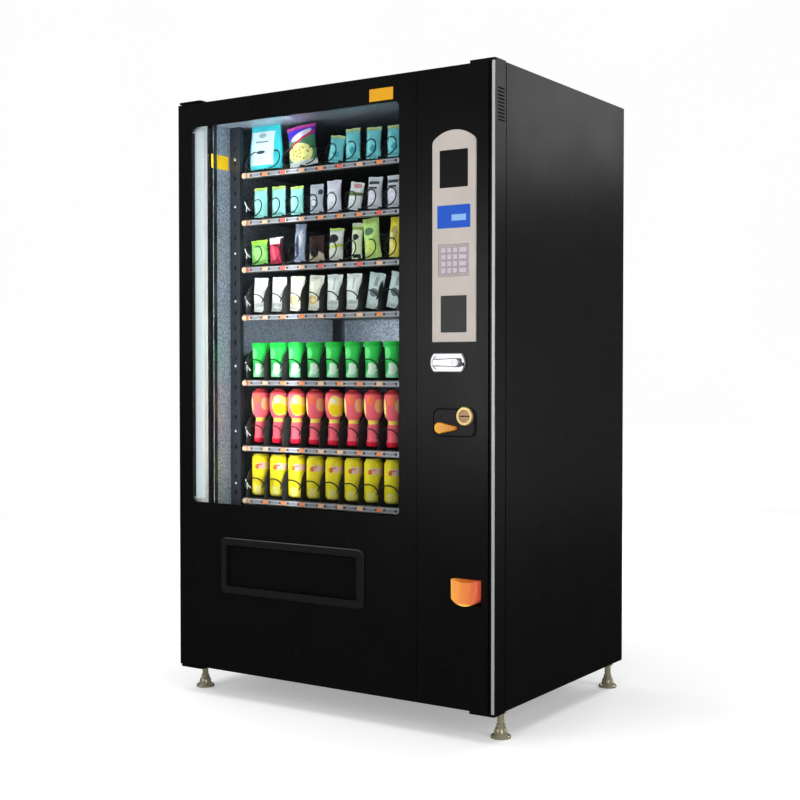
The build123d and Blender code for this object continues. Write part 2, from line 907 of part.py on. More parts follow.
# ---- display: smoked card window, blue screen lens and the blank plate
display_parts = []
for inset_width, inset_height, drop in (card_window, screen, blank_plate):
    with BuildPart() as lens:
        with BuildSketch(upright(face + sheet)):
            with Locations((column, shoulder - drop - inset_height / 2)):
                RectangleRounded(inset_width - 2 * clearance, inset_height - 2 * clearance, 2)
        extrude(amount=fascia_thick + sheet - 1)
    display_parts.append(lens.part)
write("display", *display_parts)

# ---- keypad: plate with sixteen holes, and the switch board behind it
pad_width, pad_height, pad_drop = keypad
pad_middle = shoulder - pad_drop - pad_height / 2
plate_face = fascia_face + 1.5
plate_thick = 5
key_columns_x = [column + first_key + place * key_pitch for place in range(key_columns - 1)]
key_columns_x.append(key_columns_x[-1] + wide_key_step)
key_widths = [key_size, key_size, key_size, wide_key]
key_rows_z = [pad_middle + (1.5 - row) * key_pitch for row in range(key_rows)]
board_y = plate_face + plate_thick + key_flange + key_travel + 1
with BuildPart() as key_plate:
    with BuildSketch(upright(plate_face + plate_thick)):
        with Locations((column, pad_middle)):
            RectangleRounded(pad_width - 2 * clearance, pad_height - 2 * clearance, 2)
        for key_x, key_width in zip(key_columns_x, key_widths):
            with Locations(*[(key_x, key_z) for key_z in key_rows_z]):
                RectangleRounded(
                    key_width + 2 * key_gap, key_size + 2 * key_gap, 1.5, mode=Mode.SUBTRACT
                )
    extrude(amount=plate_thick)
with BuildPart() as switch_board:
    block(
        (column - pad_width / 2 + 1, column + pad_width / 2 - 1),
        (board_y, board_y + 1.6),
        (pad_middle - pad_height / 2 + 1, pad_middle + pad_height / 2 - 1),
    )
write("keypad_plate", key_plate.part, switch_board.part)

for row, key_z in enumerate(key_rows_z, start=1):
    for place, (key_x, key_width) in enumerate(zip(key_columns_x, key_widths), start=1):
        with BuildPart() as key:
            with BuildSketch(upright(plate_face + plate_thick + 0.3)):
                with Locations((key_x, key_z)):
                    RectangleRounded(key_width, key_size, 1.5)
            extrude(amount=plate_thick + 0.3 + key_proud)
            fillet(key.faces().sort_by(Axis.Y)[0].edges(), 1)
            with BuildSketch(upright(plate_face + plate_thick + 0.3 + key_flange)):
                with Locations((key_x, key_z)):
                    Rectangle(key_width + 2, key_size + 2)
            extrude(amount=key_flange)
        write(f"key_{row}_{place}", key.part)

# ---- lock: bowed chrome housing, spindle with its cam, and the swinging handle
pivot_x = lock_x - lock_width / 2 + 24
housing_depth = 30  # behind the door's face
dish_depth = 3
with BuildPart() as lock_housing:
    with BuildSketch(upright(face, lock_x, lock_z)):
        with BuildLine():
            half_flat, half_high = lock_width / 2 - 12, lock_height / 2
            top_edge = Line((half_flat, half_high), (-half_flat, half_high))
            low_edge = Line((-half_flat, -half_high), (half_flat, -half_high))
            ThreePointArc(top_edge @ 1, (-lock_width / 2, 0), low_edge @ 0)
            ThreePointArc(low_edge @ 1, (lock_width / 2, 0), top_edge @ 0)
        make_face()
    extrude(amount=lock_thick)
    rim = lock_housing.faces().sort_by(Axis.Y)[0]
    fillet(rim.edges(), 2.5)
    with BuildSketch(upright(lock_face, lock_x, lock_z)):
        RectangleRounded(lock_width - 18, lock_height - 16, 14)
    extrude(amount=-dish_depth, mode=Mode.SUBTRACT)
    with BuildSketch(upright(face, lock_x, lock_z)):
        RectangleRounded(lock_width - 26, 38, 3)
    extrude(amount=-housing_depth)
    with BuildSketch(upright(lock_face, pivot_x, lock_z)):
        Circle(spindle_radius + spindle_play)
    extrude(amount=-2 * housing_depth, mode=Mode.SUBTRACT)
write("lock_housing", lock_housing.part)

spindle_front = lock_face - 1
cam_y = door_back - inner_cover - 8
with BuildPart() as lock_spindle:
    with BuildSketch(upright(cam_y)):
        with Locations((pivot_x, lock_z)):
            Circle(spindle_radius)
    extrude(amount=cam_y - spindle_front)
    block(
        (pivot_x - 9, pivot_x + 9),
        (cam_y - 5, cam_y),
        (lock_z - 42, lock_z + 9),
    )
write("lock_spindle", lock_spindle.part)

handle_back = spindle_front - handle_gap
handle_face = handle_back - handle_thick
with BuildPart() as lock_handle:
    with BuildSketch(upright(handle_back)):
        with BuildLine():
            grip_end = pivot_x + handle_length - 24
            bulge = handle_height / 2
            nose_edge = Line((grip_end, lock_z + bulge - 4), (pivot_x + 4, lock_z + bulge - 7))
            chin_edge = Line((pivot_x + 4, lock_z - bulge + 7), (grip_end, lock_z - bulge + 4))
            ThreePointArc(nose_edge @ 1, (pivot_x - 12, lock_z), chin_edge @ 0)
            ThreePointArc(chin_edge @ 1, (grip_end + 15, lock_z), nose_edge @ 0)
        make_face()
    extrude(amount=handle_thick)
    fillet(lock_handle.faces().sort_by(Axis.Y)[0].edges(), 2.5)
    with BuildSketch(upright(handle_face)):
        with Locations((grip_end, lock_z)):
            Circle(9)
            Circle(7.5, mode=Mode.SUBTRACT)
            Rectangle(2.4, 9)
    extrude(amount=-1, mode=Mode.SUBTRACT)
write("lock_handle", lock_handle.part)

# ---- coin plate, with the round coin inlet
inlet_centre = (column + inlet_offset[0], coin_high - inlet_offset[1])
lever_pivot = (column + lever_offset[0], coin_low + lever_offset[1])
with BuildPart() as coin_bezel:
    with BuildSketch(upright(face)):
        with Locations((column, (coin_low + coin_high) / 2)):
            RectangleRounded(coin_width, coin_height, coin_radius)
    extrude(amount=coin_thick)
    with BuildSketch(upright(face - coin_thick)):
        with Locations((column, (coin_low + coin_high) / 2)):
            RectangleRounded(coin_width - 5, coin_height - 5, coin_radius - 2.5)
            RectangleRounded(
                coin_width - 11, coin_height - 11, coin_radius - 5.5, mode=Mode.SUBTRACT
            )
    extrude(amount=-1.2, mode=Mode.SUBTRACT)
    with BuildSketch(upright(face - coin_thick)):
        with Locations(lever_pivot):
            Circle(4.05)
        with Locations(inlet_centre):
            Rectangle(slot_length + 7, slot_height + 9)
    extrude(amount=-coin_thick, mode=Mode.SUBTRACT)
with BuildPart() as coin_inlet:
    with BuildSketch(upright(face - coin_thick)):
        with Locations(inlet_centre):
            Circle(inlet_radius)
    extrude(amount=inlet_thick)
    fillet(coin_inlet.faces().sort_by(Axis.Y)[0].edges(), 2.5)
    with BuildSketch(upright(face - coin_thick - inlet_thick)):
        with Locations(inlet_centre):
            Circle(inlet_radius - 8)
    extrude(amount=-3, mode=Mode.SUBTRACT)
    with BuildSketch(upright(face - coin_thick)):
        with Locations(inlet_centre):
            Rectangle(slot_length + 6, slot_height + 8)
    extrude(amount=-coin_thick - 12)
    with BuildSketch(upright(face - coin_thick - inlet_thick)):
        with Locations(inlet_centre):
            Rectangle(slot_length, slot_height)
    extrude(amount=-40, mode=Mode.SUBTRACT)
write("coin_plate", coin_bezel.part, coin_inlet.part)

# ---- coin return lever, a long drop shape on its pivot pin
lever_back = face - coin_thick - 0.8
with BuildPart() as coin_return_lever:
    with BuildSketch(upright(lever_back)):
        with Locations(lever_pivot):
            Circle(lever_bulb)
        with Locations((lever_pivot[0] + lever_length - lever_bulb - lever_tip, lever_pivot[1])):
            Circle(lever_tip)
        make_hull()
    extrude(amount=lever_thick)
    fillet(coin_return_lever.faces().sort_by(Axis.Y)[0].edges(), 3)
    with BuildSketch(upright(lever_back)):
        with Locations(lever_pivot):
            Circle(4)
    extrude(amount=-coin_thick - 6)
write("coin_return_lever", coin_return_lever.part)

# ---- coin mechanism behind the coin plate, and the chute down to the cup
with BuildPart() as coin_changer:
    block(
        (column - coin_width / 2 + 4, column + coin_width / 2 - 4),
        (face + sheet + 24, mech_back),
        (mechanism_low, coin_high - 4),
    )
    block(
        (column - 50, column + 40),
        (mech_back - 4, mech_back),
        (mechanism_low + 20, mechanism_low + pocket_share * (coin_low - mechanism_low)),
        mode=Mode.SUBTRACT,
    )
with BuildPart() as coin_chute:
    block(
        (cup_x - 22, cup_x + 22),
        (face + sheet + 24, face + sheet + 52),
        (chute_low, mechanism_low),
    )
    block(
        (cup_x - 19, cup_x + 19),
        (face + sheet + 27, face + sheet + 49),
        (chute_low, mechanism_low),
        mode=Mode.SUBTRACT,
    )
write("coin_mechanism", coin_changer.part, coin_chute.part)

# ---- coin cup: an open translucent pocket let into the column
with BuildPart() as coin_cup:
    cup_top, cup_half = cup_bottom + cup_height, cup_width / 2 - clearance
    with BuildSketch(upright(face + cup_inset)):
        with BuildLine():
            Polyline(
                (cup_x - cup_half, cup_bottom + 24),
                (cup_x - cup_half, cup_top - clearance),
                (cup_x + cup_half, cup_top - clearance),
                (cup_x + cup_half, cup_bottom + 24),
            )
            ThreePointArc(
                (cup_x + cup_half, cup_bottom + 24),
                (cup_x, cup_bottom + clearance),
                (cup_x - cup_half, cup_bottom + 24),
            )
        make_face()
    extrude(amount=cup_inset + nose)
    fillet(coin_cup.faces().sort_by(Axis.Y)[0].edges().filter_by(Axis.Z), 8)
    offset(amount=-cup_wall, openings=coin_cup.faces().sort_by(Axis.Z)[-1])
    with BuildSketch(upright(face - 1)):
        with Locations((cup_x, cup_top - clearance + scoop_radius - scoop_depth)):
            Circle(scoop_radius)
    extrude(amount=nose + 1, mode=Mode.SUBTRACT)
write("coin_cup", coin_cup.part)

# ---- delivery frame: raised border and the sleeve through the door
with BuildPart() as delivery_frame:
    with BuildSketch(upright(face)):
        with Locations(((hatch_left + hatch_right) / 2, (hatch_bottom + hatch_top) / 2)):
            RectangleRounded(hatch_width, hatch_height, hatch_radius)
    extrude(amount=hatch_proud)
    chamfer(delivery_frame.faces().sort_by(Axis.Y)[0].edges(), 4)
    block(
        (mouth_left - sleeve, mouth_right + sleeve),
        (face, door_back),
        (mouth_low - sleeve, mouth_high + sleeve),
    )
    block(
        (mouth_left, mouth_right),
        (face - hatch_proud, door_back),
        (mouth_low, mouth_high),
        mode=Mode.SUBTRACT,
    )
    flap_axis_y = face + flap_setback + flap_thick / 2
    flap_axis_z = mouth_high - 8
    with Locations(((mouth_left + mouth_right) / 2, flap_axis_y, flap_axis_z)):
        Cylinder(
            flap_pin_radius + flap_pin_play,
            mouth_right - mouth_left + 2 * sleeve + 2,
            rotation=(0, 90, 0),
            mode=Mode.SUBTRACT,
        )
write("delivery_frame", delivery_frame.part)

# ---- delivery flap, hung from two pins at its top edge
with BuildPart() as delivery_flap:
    block(
        (mouth_left + flap_gap, mouth_right - flap_gap),
        (face + flap_setback, face + flap_setback + flap_thick),
        (mouth_low + flap_gap, mouth_high - flap_gap - 1),
    )
    fillet(delivery_flap.edges().filter_by(Axis.X).group_by(Axis.Z)[-1], flap_thick / 2 - 0.1)
    with Locations(((mouth_left + mouth_right) / 2, flap_axis_y, flap_axis_z)):
        Cylinder(
            flap_pin_radius,
            mouth_right - mouth_left + 2 * sleeve - 1,
            rotation=(0, 90, 0),
        )
    block(
        (mouth_left + 40, mouth_right - 40),
        (face + flap_setback + flap_thick, face + flap_setback + flap_thick + 5),
        (mouth_low + 6, mouth_low + 12),
    )
write("delivery_flap", delivery_flap.part)
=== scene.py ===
"""Looks of the snack vending machine: finishes, packs, spirals, tags and the studio round it."""

import logging
import math
from dataclasses import dataclass
from enum import Enum
from typing import Callable, Optional, Sequence, Union

import bmesh
import bpy
from mathutils import Matrix, Vector, noise

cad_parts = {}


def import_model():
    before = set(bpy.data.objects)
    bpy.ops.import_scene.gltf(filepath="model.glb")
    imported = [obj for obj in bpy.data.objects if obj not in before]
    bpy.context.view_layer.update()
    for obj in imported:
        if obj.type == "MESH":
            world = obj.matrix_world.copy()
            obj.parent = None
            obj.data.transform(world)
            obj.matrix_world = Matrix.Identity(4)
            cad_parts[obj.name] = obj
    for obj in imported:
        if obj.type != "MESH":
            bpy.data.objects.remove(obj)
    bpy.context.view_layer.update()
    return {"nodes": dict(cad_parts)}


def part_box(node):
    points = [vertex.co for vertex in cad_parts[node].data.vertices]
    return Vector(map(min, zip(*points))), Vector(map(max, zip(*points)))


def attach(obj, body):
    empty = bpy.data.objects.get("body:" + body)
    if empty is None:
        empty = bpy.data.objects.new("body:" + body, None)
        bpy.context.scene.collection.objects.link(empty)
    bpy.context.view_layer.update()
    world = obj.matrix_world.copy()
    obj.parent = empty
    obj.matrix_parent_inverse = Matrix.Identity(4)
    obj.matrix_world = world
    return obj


log = logging.getLogger("vending_machine")

MM = 0.001
TRAYS, LANES = 7, 8
JOINING = 1e-5  # points closer than this are one
Colour = tuple[float, float, float]
Display = tuple[int, int, int]
Point = tuple[float, float, float]


def srgb(red: int, green: int, blue: int) -> Colour:
    """Turn a display colour of 0 to 255 into the linear colour that shaders take."""
    def linear(channel: int) -> float:
        """Linear value of one display channel."""
        share = channel / 255
        return share / 12.92 if share <= 0.04045 else ((share + 0.055) / 1.055) ** 2.4

    return (linear(red), linear(green), linear(blue))


def paler(colour: Colour, gain: float, lift: float) -> Colour:
    """Raise a colour by a gain and a lift, up to white."""
    return tuple(min(1.0, c * gain + lift) for c in colour)


# ------------------------------------------------------------------ shader maths
class Value:
    """A shader socket that takes part in Python arithmetic."""

    def __init__(self, recipe: "Recipe", socket: bpy.types.NodeSocket) -> None:
        """Wrap one output socket of a recipe's node tree."""
        self.recipe = recipe
        self.socket = socket

    def _math(self, operation: str, *operands: "Number", clamp: bool = False) -> "Value":
        """Add a Math node.

        Args:
            operation: The Math node's operation.
            operands: Its inputs, in order.
            clamp: Whether the result is kept between 0 and 1.

        Returns:
            The node's result.
        """
        values = dict(enumerate(operands))
        return self.recipe.node(
            "ShaderNodeMath", {"operation": operation, "use_clamp": clamp}, values
        )

    def __add__(self, other: "Number") -> "Value":
        """Sum."""
        return self._math("ADD", self, other)

    __radd__ = __add__

    def __sub__(self, other: "Number") -> "Value":
        """Difference."""
        return self._math("SUBTRACT", self, other)

    def __rsub__(self, other: "Number") -> "Value":
        """Difference with this value taken away."""
        return self._math("SUBTRACT", other, self)

    def __mul__(self, other: "Number") -> "Value":
        """Product."""
        return self._math("MULTIPLY", self, other)

    __rmul__ = __mul__

    def __truediv__(self, other: "Number") -> "Value":
        """Quotient."""
        return self._math("DIVIDE", self, other)

    def __gt__(self, other: "Number") -> "Value":
        """One where this value is greater, zero elsewhere."""
        return self._math("GREATER_THAN", self, other)

    def __lt__(self, other: "Number") -> "Value":
        """One where this value is smaller, zero elsewhere."""
        return self._math("LESS_THAN", self, other)

    def limited(self) -> "Value":
        """This value kept between 0 and 1."""
        return self._math("ADD", self, 0.0, clamp=True)


Number = Union[Value, float, int]
Paint = Union[Value, Colour]


class Recipe:
    """One material and the nodes that make it."""

    def __init__(self, name: str) -> None:
        """Start an empty material with a Principled shader."""
        self.material = bpy.data.materials.new(name)
        self.material.use_nodes = True
        self.tree = self.material.node_tree
        self.tree.nodes.clear()
        self.output = self.tree.nodes.new("ShaderNodeOutputMaterial")
        self.shader = self.tree.nodes.new("ShaderNodeBsdfPrincipled")
        self.tree.links.new(self.shader.outputs[0], self.output.inputs["Surface"])

    def raw(
        self,
        kind: str,
        settings: Optional[dict[str, object]] = None,
        inputs: Optional[dict[Union[str, int], object]] = None,
    ) -> bpy.types.Node:
        """Add any node.

        Args:
            kind: The node's type name.
            settings: Node properties, set first; "stops" fills a colour ramp.
            inputs: Values or links for its sockets, by name or place.

        Returns:
            The new node.
        """
        made = self.tree.nodes.new(kind)
        for key, setting in (settings or {}).items():
            if key == "stops":
                ramp = made.color_ramp
                while len(ramp.elements) < len(setting):
                    ramp.elements.new(1.0)
                for element, (place, colour) in zip(ramp.elements, setting):
                    element.position = place
                    element.color = (*colour, 1.0)
            else:
                setattr(made, key, setting)
        for key, given in (inputs or {}).items():
            self.feed(made.inputs[key], given)
        return made

    def node(
        self,
        kind: str,
        settings: Optional[dict[str, object]] = None,
        inputs: Optional[dict[Union[str, int], object]] = None,
        out: Union[str, int] = 0,
    ) -> Value:
        """Add any node and take one of its outputs, named or counted by out."""
        return Value(self, self.raw(kind, settings, inputs).outputs[out])

    def feed(self, socket: bpy.types.NodeSocket, given: object) -> None:
        """Link a value to a socket, or set the socket's own number or colour."""
        if isinstance(given, Value):
            self.tree.links.new(given.socket, socket)
        elif isinstance(given, tuple) and len(given) == 3 and socket.type == "RGBA":
            socket.default_value = (*given, 1.0)
        else:
            socket.default_value = given

    def set(self, **inputs: object) -> "Recipe":
        """Fill the Principled shader's sockets; an underscore stands for a space."""
        for key, given in inputs.items():
            self.feed(self.shader.inputs[key.replace("_", " ")], given)
        return self

    def place(self, kind: str = "Object") -> tuple[Value, Value, Value]:
        """Coordinates x, y and z of the shaded point: Object in metres or Generated in shares."""
        coordinates = self.node("ShaderNodeTexCoord", out=kind)
        split = self.raw("ShaderNodeSeparateXYZ", inputs={0: coordinates})
        return tuple(Value(self, split.outputs[i]) for i in range(3))

    def spot(self, stretch: Point) -> Value:
        """Object coordinates as one vector, stretched along each axis."""
        inputs = {0: self.node("ShaderNodeTexCoord", out="Object"), 1: stretch}
        return self.node("ShaderNodeVectorMath", {"operation": "MULTIPLY"}, inputs)

    def noise(
        self, scale: float, detail: float = 3.0, stretch: Point = (1.0, 1.0, 1.0)
    ) -> Value:
        """Soft noise between 0 and 1 with about scale cells in a metre."""
        inputs = {"Vector": self.spot(stretch), "Scale": scale, "Detail": detail}
        return self.node("ShaderNodeTexNoise", inputs=inputs)

    def cells(self, scale: float) -> Value:
        """Distance to the nearest of scattered points, about scale of them in a metre."""
        inputs = {"Vector": self.spot((1.0, 1.0, 1.0)), "Scale": scale}
        return self.node("ShaderNodeTexVoronoi", inputs=inputs)

    def span(self, x: Value, low: float, high: float, soft: float = 0.01) -> Value:
        """One between low and high, falling to zero over soft on each side."""
        rise, fall = (
            self.node(
                "ShaderNodeMapRange",
                inputs={"Value": x, "From Min": edge - soft, "From Max": edge + soft},
            )
            for edge in (low, high)
        )
        return rise * (1 - fall)

    def mix(self, mask: Number, first: Paint, second: Paint) -> Value:
        """Colour that goes from first to second as the mask goes from 0 to 1."""
        inputs = {0: mask, 6: first, 7: second}
        return self.node("ShaderNodeMix", {"data_type": "RGBA"}, inputs, out=2)

    def relief(self, height: Value, strength: float, distance: float) -> Value:
        """Normal bent by a height, which is scaled to distance metres."""
        inputs = {"Height": height, "Strength": strength, "Distance": distance}
        return self.node("ShaderNodeBump", inputs=inputs)

    def worn(self, low: float, high: float, scale: float) -> Value:
        """Roughness that wanders between low and high."""
        return self.noise(scale) * (high - low) + low


# ------------------------------------------------------------------ finishes
@dataclass(frozen=True)
class PowderCoat:
    """Sprayed coat with faint orange peel, on steel."""

    name: str
    colour: Colour
    low: float = 0.22
    high: float = 0.34
    peel: float = 0.10
    metal: float = 0.0

    def make(self) -> bpy.types.Material:
        """Build the material."""
        recipe = Recipe(self.name)
        shade = paler(self.colour, 1.25, 0.0006)
        recipe.set(
            Base_Color=recipe.mix(recipe.noise(9), self.colour, shade),
            Roughness=recipe.worn(self.low, self.high, 5),
            Metallic=self.metal,
            Normal=recipe.relief(recipe.noise(700, 2), self.peel, 0.0004),
        )
        return recipe.material


@dataclass(frozen=True)
class Moulded:
    """Injection-moulded plastic with a fine spark-eroded grain."""

    name: str
    colour: Colour
    low: float = 0.38
    high: float = 0.52
    grain: float = 0.18
    grain_scale: float = 1400

    def make(self) -> bpy.types.Material:
        """Build the material."""
        recipe = Recipe(self.name)
        shade = paler(self.colour, 1.18, 0.001)
        recipe.set(
            Base_Color=recipe.mix(recipe.noise(40), self.colour, shade),
            Roughness=recipe.worn(self.low, self.high, 30),
            Normal=recipe.relief(recipe.cells(self.grain_scale), self.grain, 0.0003),
        )
        return recipe.material


@dataclass(frozen=True)
class Metal:
    """Bare or plated metal, polished or drawn along one axis."""

    name: str
    colour: Colour
    low: float = 0.12
    high: float = 0.25
    streak: Point = (1.0, 1.0, 1.0)
    scale: float = 120
    relief: float = 0.05

    def make(self) -> bpy.types.Material:
        """Build the material."""
        recipe = Recipe(self.name)
        marks = recipe.noise(self.scale, 4, self.streak)
        shade = tuple(c * 0.82 for c in self.colour)
        recipe.set(
            Base_Color=recipe.mix(marks, shade, self.colour),
            Roughness=marks * (self.high - self.low) + self.low,
            Metallic=1.0,
            Normal=recipe.relief(marks, self.relief, 0.0004),
        )
        return recipe.material


@dataclass(frozen=True)
class Stucco:
    """Aluminium sheet embossed with small irregular pebbles, with painted shade that follows the
    pebbles.
    """

    name: str = "stucco_aluminium"
    colour: Colour = (0.62, 0.70, 0.84)
    pebble: float = 130

    def make(self) -> bpy.types.Material:
        """Build the material."""
        recipe = Recipe(self.name)
        pebbles = recipe.cells(self.pebble)
        cloud = recipe.noise(14)
        dark = tuple(c * 0.5 for c in self.colour)
        # Painted shade: the colour darkens with the pebble relief, mixed with random cloudy tone.
        pebble_relief_shade = (pebbles * 1.5 + cloud * 0.3 - 0.25).limited()
        recipe.set(
            Base_Color=recipe.mix(pebble_relief_shade, self.colour, dark),
            Roughness=cloud * 0.15 + 0.30,
            Metallic=0.55,
            Normal=recipe.relief(pebbles, 0.8, 0.003),
        )
        return recipe.material


@dataclass(frozen=True)
class ClearPane:
    """Window glass: clear face on, mirror-like at a glance, with a little dust."""

    name: str = "window_pane"
    index: float = 1.45
    gloss: float = 0.7

    def make(self) -> bpy.types.Material:
        """Build the material."""
        recipe = Recipe(self.name)
        recipe.set(
            Base_Color=(0.92, 0.96, 0.97),
            Metallic=1.0,
            Roughness=recipe.worn(0.015, 0.04, 3),
        )
        clear = recipe.node("ShaderNodeBsdfTransparent", inputs={"Color": (0.95, 0.98, 0.98)})
        fresnel = recipe.node("ShaderNodeFresnel", inputs={"IOR": self.index})
        mirror = Value(recipe, recipe.shader.outputs[0])
        share = (fresnel * self.gloss).limited()
        blend = recipe.node("ShaderNodeMixShader", inputs={0: share, 1: clear, 2: mirror})
        recipe.feed(recipe.output.inputs["Surface"], blend)
        return recipe.material


@dataclass(frozen=True)
class Tinted:
    """Coloured see-through plastic with painted light: lighter towards its left side and its bottom
    and left edges, and a painted glow.
    """

    name: str
    shaded_colour: Colour
    lit_colour: Colour
    glow: float = 0.25
    gather: float = 60

    def make(self) -> bpy.types.Material:
        """Build the material."""
        recipe = Recipe(self.name)
        across, _, up = recipe.place("Generated")
        cloud = recipe.noise(self.gather, 2, (1.0, 1.0, 0.25))
        # Painted light: the colour goes from the shaded colour to the lit colour towards the left
        # side and at the bottom and left edges, with random cloudy blotches.
        rim = recipe.span(up, 0.07, 1.2, 0.03) * recipe.span(across, 0.05, 1.2, 0.03)
        painted_light_leftwards = (1 - across) * 0.65 + (cloud - 0.5) * 0.35
        mask = (painted_light_leftwards + (1 - rim) * 0.9).limited()
        colour = recipe.mix(mask, self.shaded_colour, self.lit_colour)
        recipe.set(
            Base_Color=colour,
            Roughness=recipe.worn(0.08, 0.2, 40),
            Coat_Weight=0.6,
            Coat_Roughness=0.08,
            Subsurface_Weight=0.25,
            Subsurface_Radius=(0.01, 0.005, 0.002),
            # Painted glow: the plastic gives light of its own colour, though it is no lamp.
            Emission_Color=colour,
            Emission_Strength=self.glow,
        )
        return recipe.material


@dataclass(frozen=True)
class Lit:
    """A surface that gives light, with a soft fall-off towards its ends."""

    name: str
    colour: Colour
    strength: float
    body: float = 0.85

    def make(self) -> bpy.types.Material:
        """Build the material."""
        recipe = Recipe(self.name)
        _, _, up = recipe.place("Generated")
        ends = recipe.span(up, 0.02, 0.98, 0.05)
        dim = tuple(c * 0.75 for c in self.colour)
        recipe.set(
            Base_Color=recipe.mix(recipe.noise(60), (self.body,) * 3, (self.body * 0.94,) * 3),
            Roughness=0.35,
            Emission_Color=recipe.mix(ends, dim, self.colour),
            Emission_Strength=self.strength,
        )
        return recipe.material


class Shape(Enum):
    """Outline of one printed area on a pack."""

    BAND = "band across the pack"
    PANEL = "upright rectangle"
    OVAL = "ellipse"
    GRAINS = "scattered grains inside an ellipse"


@dataclass(frozen=True)
class Print:
    """One printed area: centre and half size in shares of the pack, and its display colour."""

    shape: Shape
    centre: tuple[float, float]
    half: tuple[float, float]
    colour: Display
    slope: float = 0.0

    def paint(self, recipe: Recipe, across: Value, up: Value, under: Paint) -> Value:
        """Lay this print over the colour under it.

        Args:
            recipe: The material being made.
            across: Share of the pack's width.
            up: Share of the pack's height.
            under: Colour before this print.

        Returns:
            The colour with this print on it.
        """
        x, z = across - self.centre[0], up - self.centre[1]
        if self.slope:
            z = z - x * self.slope
        if self.shape is Shape.BAND:
            mask = recipe.span(z, -self.half[1], self.half[1], 0.008)
        elif self.shape is Shape.PANEL:
            mask = recipe.span(z, -self.half[1], self.half[1], 0.006)
            mask = mask * recipe.span(x, -self.half[0], self.half[0], 0.008)
        else:
            x, z = x / self.half[0], z / self.half[1]
            mask = (1 - (x * x + z * z)) * 12
            if self.shape is Shape.GRAINS:
                mask = mask.limited() * (recipe.cells(95) < 0.42)
        return recipe.mix(mask.limited(), under, srgb(*self.colour))


def band(height: float, half: float, colour: Display, slope: float = 0.0) -> Print:
    """Band across the pack at a height, which may climb across it."""
    return Print(Shape.BAND, (0.5, height), (1.0, half), colour, slope)


def panel(x: float, y: float, wide: float, tall: float, colour: Display) -> Print:
    """Upright rectangle round a centre."""
    return Print(Shape.PANEL, (x, y), (wide, tall), colour)


def oval(
    x: float, y: float, wide: float, tall: float, colour: Display, slope: float = 0.0
) -> Print:
    """Ellipse round a centre."""
    return Print(Shape.OVAL, (x, y), (wide, tall), colour, slope)


@dataclass(frozen=True)
class Wrapper:
    """Printed film, foil, tin or label paper."""

    name: str
    base: Display
    prints: tuple[Print, ...] = ()
    low: float = 0.22
    high: float = 0.38
    metal: float = 0.15
    crease: float = 0.5
    crease_scale: float = 60

    def make(self) -> bpy.types.Material:
        """Build the material."""
        recipe = Recipe(self.name)
        across, _, up = recipe.place("Generated")
        base = srgb(*self.base)
        colour: Paint = recipe.mix(recipe.noise(22), base, paler(base, 1.15, 0.01))
        for area in self.prints:
            colour = area.paint(recipe, across, up, colour)
        folds = recipe.noise(self.crease_scale, 4, (1.0, 1.0, 0.6))
        recipe.set(
            Base_Color=colour,
            Roughness=recipe.worn(self.low, self.high, 45),
            Metallic=self.metal,
            Coat_Weight=0.3,
            Coat_Roughness=0.12,
            Normal=recipe.relief(folds, self.crease, 0.003),
        )
        return recipe.material


